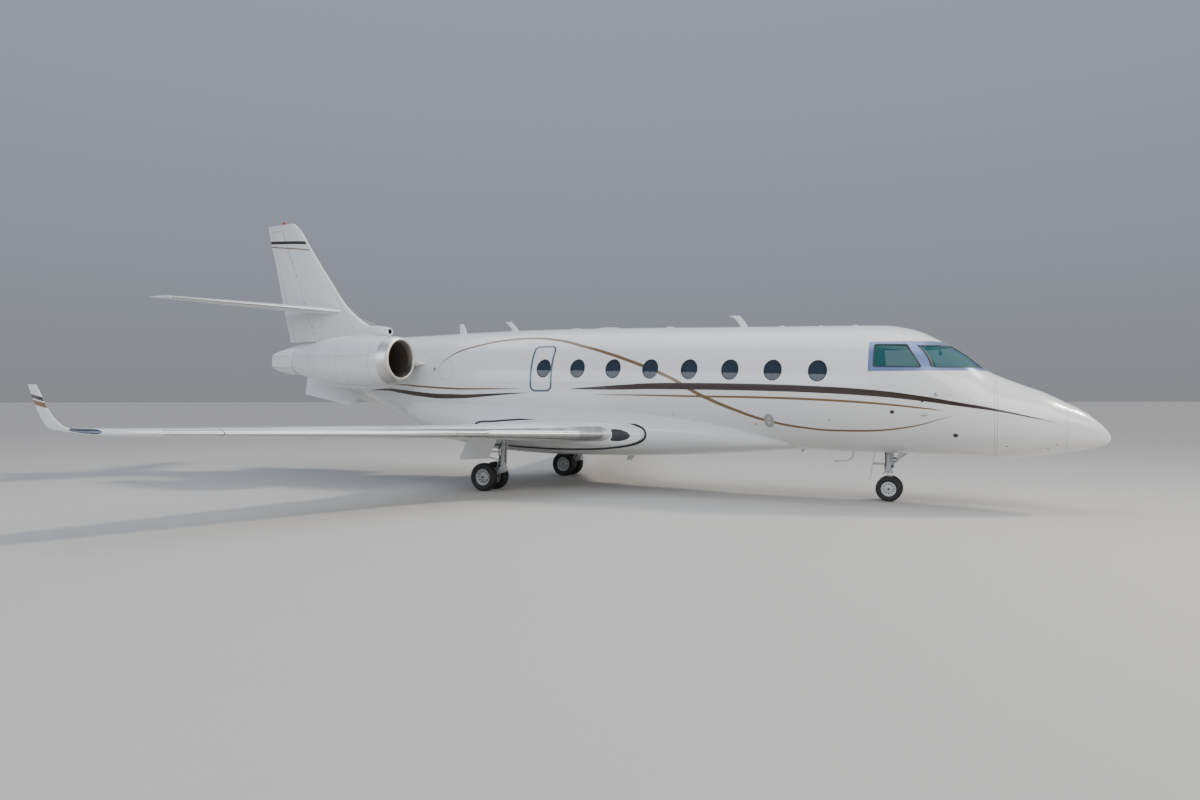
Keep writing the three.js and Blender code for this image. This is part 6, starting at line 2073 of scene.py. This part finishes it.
def seatPieces():
    forms = seatForms()
    shell, legs = seatFrame()
    for side, sideName in ((-1, "right"), (1, "left")):
        shells, bases = [], []
        for k, (station, facing) in enumerate(seatPlaces):
            spot = (station, side * seat["out"], facing)
            pad = newPiece(f"cabin_cushion_{sideName}_{k + 1}", placed(forms, *spot), leather)
            carry(pad, "airframe", slot="leather")
            shells.append(placed(shell, *spot))
            bases.append(placed(legs, *spot))
        for y in (side * seat["out"] - 70, side * seat["out"] + 70):
            rail = [[(spotX(s), y + w, floorTop(s) + h) for w, h in ((-9, 2), (9, 2), (9, 14), (-9, 14))]
                    for s in (5150, 10600)]
            bases.append(loftMesh(np.array(rail) * mm))
        dress(f"cabin_seat_shells_{sideName}", shells, leatherDark, "airframe", f"cabin_seats_{sideName}",
              slot="leather")
        dress(f"cabin_seat_legs_{sideName}", bases, softMetal, "airframe", slot="gear_metal")
    shells, bases = [], []
    for side, sideName in ((-1, "right"), (1, "left")):
        spot = (seat["pilotStation"], side * seat["pilotOut"], 1)
        pad = newPiece(f"pilot_cushion_{sideName}", placed(forms, *spot), seatBlue)
        carry(pad, "airframe", slot="leather")
        shells.append(placed(shell, *spot))
        bases.append(placed(legs, *spot))
    low, high = floorTop(3300), floorTop(3300) + 8
    bases.append(block((spotX(3300), -560, low + 2), (spotX(3000), 560, high + 4)))
    dress("pilot_seat_shells", shells, blackPlastic, "airframe", "cockpit_seats", slot="leather")
    dress("pilot_seat_legs", bases, darkMetal, "airframe", slot="dark_metal")


def floorPiece():
    steps = stationSteps(floor["from"], floor["to"], 300)
    half, foot = floor["half"], -floor["thickness"]
    rings = [[(float(alongX(s)), y * mm, (floorTop(s) + z) * mm)
              for y, z in ((-half, foot), (half, foot), (half, -1), (-half, -1))]
             for s in steps]
    piece = newPiece("carpet_floor", loftMesh(np.array(rings)), carpet)
    carved(piece, insideBody(-76, 11190), "INTERSECT")
    carry(shadeByAngle(piece), "airframe", "cabin_floor", slot="carpet")


def screenMaterial():
    material, tree, shader = startMaterial("screens")
    bricks = addNode(tree, "ShaderNodeTexBrick", {
        "Scale": 9, "Color1": (0.02, 0.07, 0.16, 1), "Color2": (0.10, 0.05, 0.015, 1),
        "Mortar": (0.10, 0.22, 0.16, 1), "Mortar Size": 0.012})
    mapping = addNode(tree, "ShaderNodeMapping", {"Rotation": (0, math.radians(90), math.radians(90))})
    wire(tree, objectPlace(tree), mapping.inputs["Vector"])
    wire(tree, mapping.outputs[0], bricks.inputs["Vector"])
    wire(tree, bricks.outputs["Color"], shader.inputs["Emission Color"])
    shader.inputs["Emission Strength"].default_value = 0.8
    wire(tree, mixColour(tree, 0.9, bricks.outputs["Color"], (0.01, 0.011, 0.013)), shader.inputs["Base Color"])
    shader.inputs["Roughness"].default_value = 0.08
    shader.inputs["Coat Weight"].default_value = 0.5
    return material


def onPanel(y, share, out):  # a point on the panel's face, millimetres
    (s0, z0), (s1, z1) = panelFace["foot"], panelFace["head"]
    s, z = s0 + (s1 - s0) * share, z0 + (z1 - z0) * share
    fall = math.hypot(s1 - s0, z1 - z0)
    nx, nz = (z1 - z0) / fall, -(s1 - s0) / fall
    return (spotX(s + nx * out), y, z + nz * out)


def panelPlate(yLow, yHigh, shareLow, shareHigh, outLow, outHigh, inset=2):
    rings = []
    for out, shrink in ((outLow, 0), (outHigh - inset, 0), (outHigh, inset)):
        k = shrink / 440
        rings.append([onPanel(yLow + shrink, shareLow + k, out), onPanel(yHigh - shrink, shareLow + k, out),
                      onPanel(yHigh - shrink, shareHigh - k, out), onPanel(yLow + shrink, shareHigh - k, out)])
    return loftMesh(np.array(rings) * mm)


def cockpitPieces():
    outline = [(2052, 2233), (2540, 2233), (2566, 2222), (2572, 2206), (2556, 2176), (2420, 1762), (2052, 1762)]
    board = newPiece("panel_board", prism([(noseX - s * mm, z * mm) for s, z in outline], "y", -0.82, 0.82), panelGrey)
    carved(board, insideBody(-78, 3200), "INTERSECT")
    box = newPiece("pedestal", block((spotX(2848), -168, floorTop(2848) + 3),
                                     (spotX(2410), 168, floorTop(2600) + 600), 14), panelGrey)
    carry(shadeByAngle(board, 30), "airframe", "instrument_panel", slot="panel_black")
    carry(shadeByAngle(box, 30), "airframe", slot="panel_black")
    frames, glass, knobs = [], [], []
    for y in (-520, -185, 185, 520):
        frames.append(panelPlate(y - 155, y + 155, 0.28, 0.84, 1, 14, 5))
        glass.append(panelPlate(y - 138, y + 138, 0.33, 0.79, 13, 16, 1))
        for k in range(9):
            a, b = onPanel(y - 128 + 32 * k, 0.302, 12), onPanel(y - 128 + 32 * k, 0.302, 19)
            knobs.append(tube(a, b, 6.5, 10, 1))
    for y in np.linspace(-560, 560, 29):
        a, b = onPanel(y, 0.915, 1), onPanel(y, 0.915, 13)
        knobs.append(tube(a, b, 7, 10, 1))
    top = floorTop(2600) + 600
    levers = []
    for y in (-52, -18, 18, 52):
        levers += [tube((spotX(2600), y, top - 6), (spotX(2560), y, top + 92), 5),
                   tube((spotX(2559), y - 13, top + 94), (spotX(2559), y + 13, top + 94), 13)]
    for row in range(7):
        for y in np.linspace(-130, 130, 7):
            x = spotX(2660 + 26 * row)
            knobs.append(tube((x, y, top - 2), (x, y, top + 7), 8 if row % 3 else 11, 10, 1))
    yokes = []
    for side in (-1, 1):
        y = side * seat["pilotOut"]
        x = spotX(2740)
        yokes.append(hose([(x + 150, y, floorTop(2600) + 8), (x + 60, y, 1500), (x + 10, y, 1800),
                           (x + 4, y, 1880)], 17, 14))
        yokes.append(hose([(x, y - 150, 2010), (x - 6, y - 158, 1930), (x - 4, y - 120, 1872), (x, y, 1868),
                           (x - 4, y + 120, 1872), (x - 6, y + 158, 1930), (x, y + 150, 2010)], 13, 14))
        yokes.append(tube((x - 14, y, 1872), (x + 30, y, 1872), 34))
    dress("screen_frames", frames, blackPlastic, "airframe", slot="panel_black")
    dress("screen_glass", glass, screenMaterial(), "airframe", slot="glass")
    dress("panel_knobs", knobs + levers, softMetal, "airframe", slot="gear_metal")
    dress("yokes", yokes, blackPlastic, "airframe", slot="panel_black")
    compass = [block((spotX(2560), -34, 2600), (spotX(2500), 34, 2668), 12),
               tube((spotX(2530), 0, 2664), (spotX(2545), 0, 2745), 9)]
    dress("standby_compass", compass, blackPlastic, "airframe", slot="panel_black")


leatherDark = plainMaterial("leatherTan", (0.34, 0.25, 0.17), gloss=0.45, scale=10, tint=0.25, grain=240, bump=0.2)
panelGrey = plainMaterial("panelGrey", (0.055, 0.058, 0.065), gloss=0.7, scale=10, tint=0.4, grain=260, bump=0.12)
floorPiece()
seatPieces()
cockpitPieces()
print("interior made")


# Camera, floor and light


def stageParts():
    view = {"place": (7.3765, -14.7935, 1.8431), "yaw": 0.4447, "pitch": -0.0018, "roll": -0.0006,
            "lens": 769.76 / 1200 * 36}
    camera = bpy.data.cameras.new("camera")
    camera.sensor_width = 36
    camera.lens = view["lens"]
    camera.clip_end = 400
    seen = bpy.data.objects.new("camera", camera)
    bpy.context.scene.collection.objects.link(seen)
    yaw, pitch, roll = view["yaw"], view["pitch"], view["roll"]
    forward = Vector((-math.sin(yaw) * math.cos(pitch), math.cos(yaw) * math.cos(pitch), math.sin(pitch)))
    right = Vector((math.cos(yaw), math.sin(yaw), 0))
    up = right.cross(forward)
    right, up = (math.cos(roll) * right + math.sin(roll) * up, math.cos(roll) * up - math.sin(roll) * right)
    seen.matrix_world = Matrix((
        (right.x, up.x, -forward.x, view["place"][0]), (right.y, up.y, -forward.y, view["place"][1]),
        (right.z, up.z, -forward.z, view["place"][2]), (0, 0, 0, 1)))
    bpy.context.scene.camera = seen

    material, tree, shader = startMaterial("floorPaint")
    wearOn(tree, shader, (0.52, 0.505, 0.48), 0.4, 30.0, 0.03, 0.1, 0.75)
    sheet = bpy.data.meshes.new("floor")
    reach = 900
    sheet.from_pydata([(-reach, -reach, 0), (reach, -reach, 0), (reach, reach, 0), (-reach, reach, 0)], [],
                      [(0, 1, 2, 3)])
    sheet.materials.append(material)
    ground = bpy.data.objects.new("floor", sheet)
    bpy.context.scene.collection.objects.link(ground)

    world = bpy.data.worlds.new("studio")
    bpy.context.scene.world = world
    world.use_nodes = True
    tree = world.node_tree
    sky = tree.nodes["Background"]
    ramp = addNode(tree, "ShaderNodeValToRGB")
    place = addNode(tree, "ShaderNodeSeparateXYZ")
    wire(tree, tree.nodes.new("ShaderNodeTexCoord").outputs["Generated"], place.inputs[0])
    lift = maths(tree, "MULTIPLY_ADD", place.outputs[2], 0.5, 0.5)
    wire(tree, lift, ramp.inputs["Fac"])
    ramp.color_ramp.elements[0].position = 0.48
    ramp.color_ramp.elements[0].color = (0.50, 0.51, 0.53, 1)
    ramp.color_ramp.elements[1].position = 0.75
    ramp.color_ramp.elements[1].color = (0.66, 0.78, 1.0, 1)
    wire(tree, ramp.outputs["Color"], sky.inputs["Color"])
    sky.inputs["Strength"].default_value = 0.50

    def lamp(name, where, aim, size, power, colour):
        light = bpy.data.lights.new(name, "AREA")
        light.shape = "RECTANGLE"
        light.size, light.size_y = size
        light.energy = power
        light.color = colour
        made = bpy.data.objects.new(name, light)
        bpy.context.scene.collection.objects.link(made)
        made.location = where
        made.rotation_mode = "QUATERNION"
        made.rotation_quaternion = (Vector(aim) - Vector(where)).to_track_quat("-Z", "Y")

    sun = bpy.data.lights.new("sun", "SUN")
    sun.energy, sun.angle, sun.color = 1.9, math.radians(7), (1.0, 0.90, 0.76)
    high = bpy.data.objects.new("sun", sun)
    bpy.context.scene.collection.objects.link(high)
    high.rotation_mode = "QUATERNION"
    high.rotation_quaternion = Vector((-0.62, -0.48, -0.62)).to_track_quat("-Z", "Y")
    lamp("key", (17, -6, 10), (3, 0, 1.6), (12, 8), 1500, (1.0, 0.95, 0.88))
    lamp("fill", (-6, -26, 9), (-2, 0, 2), (26, 10), 2300, (0.84, 0.91, 1.0))
    lamp("top", (0, 2, 17), (0, 0, 1), (26, 12), 1500, (0.95, 0.98, 1.0))


stageParts()
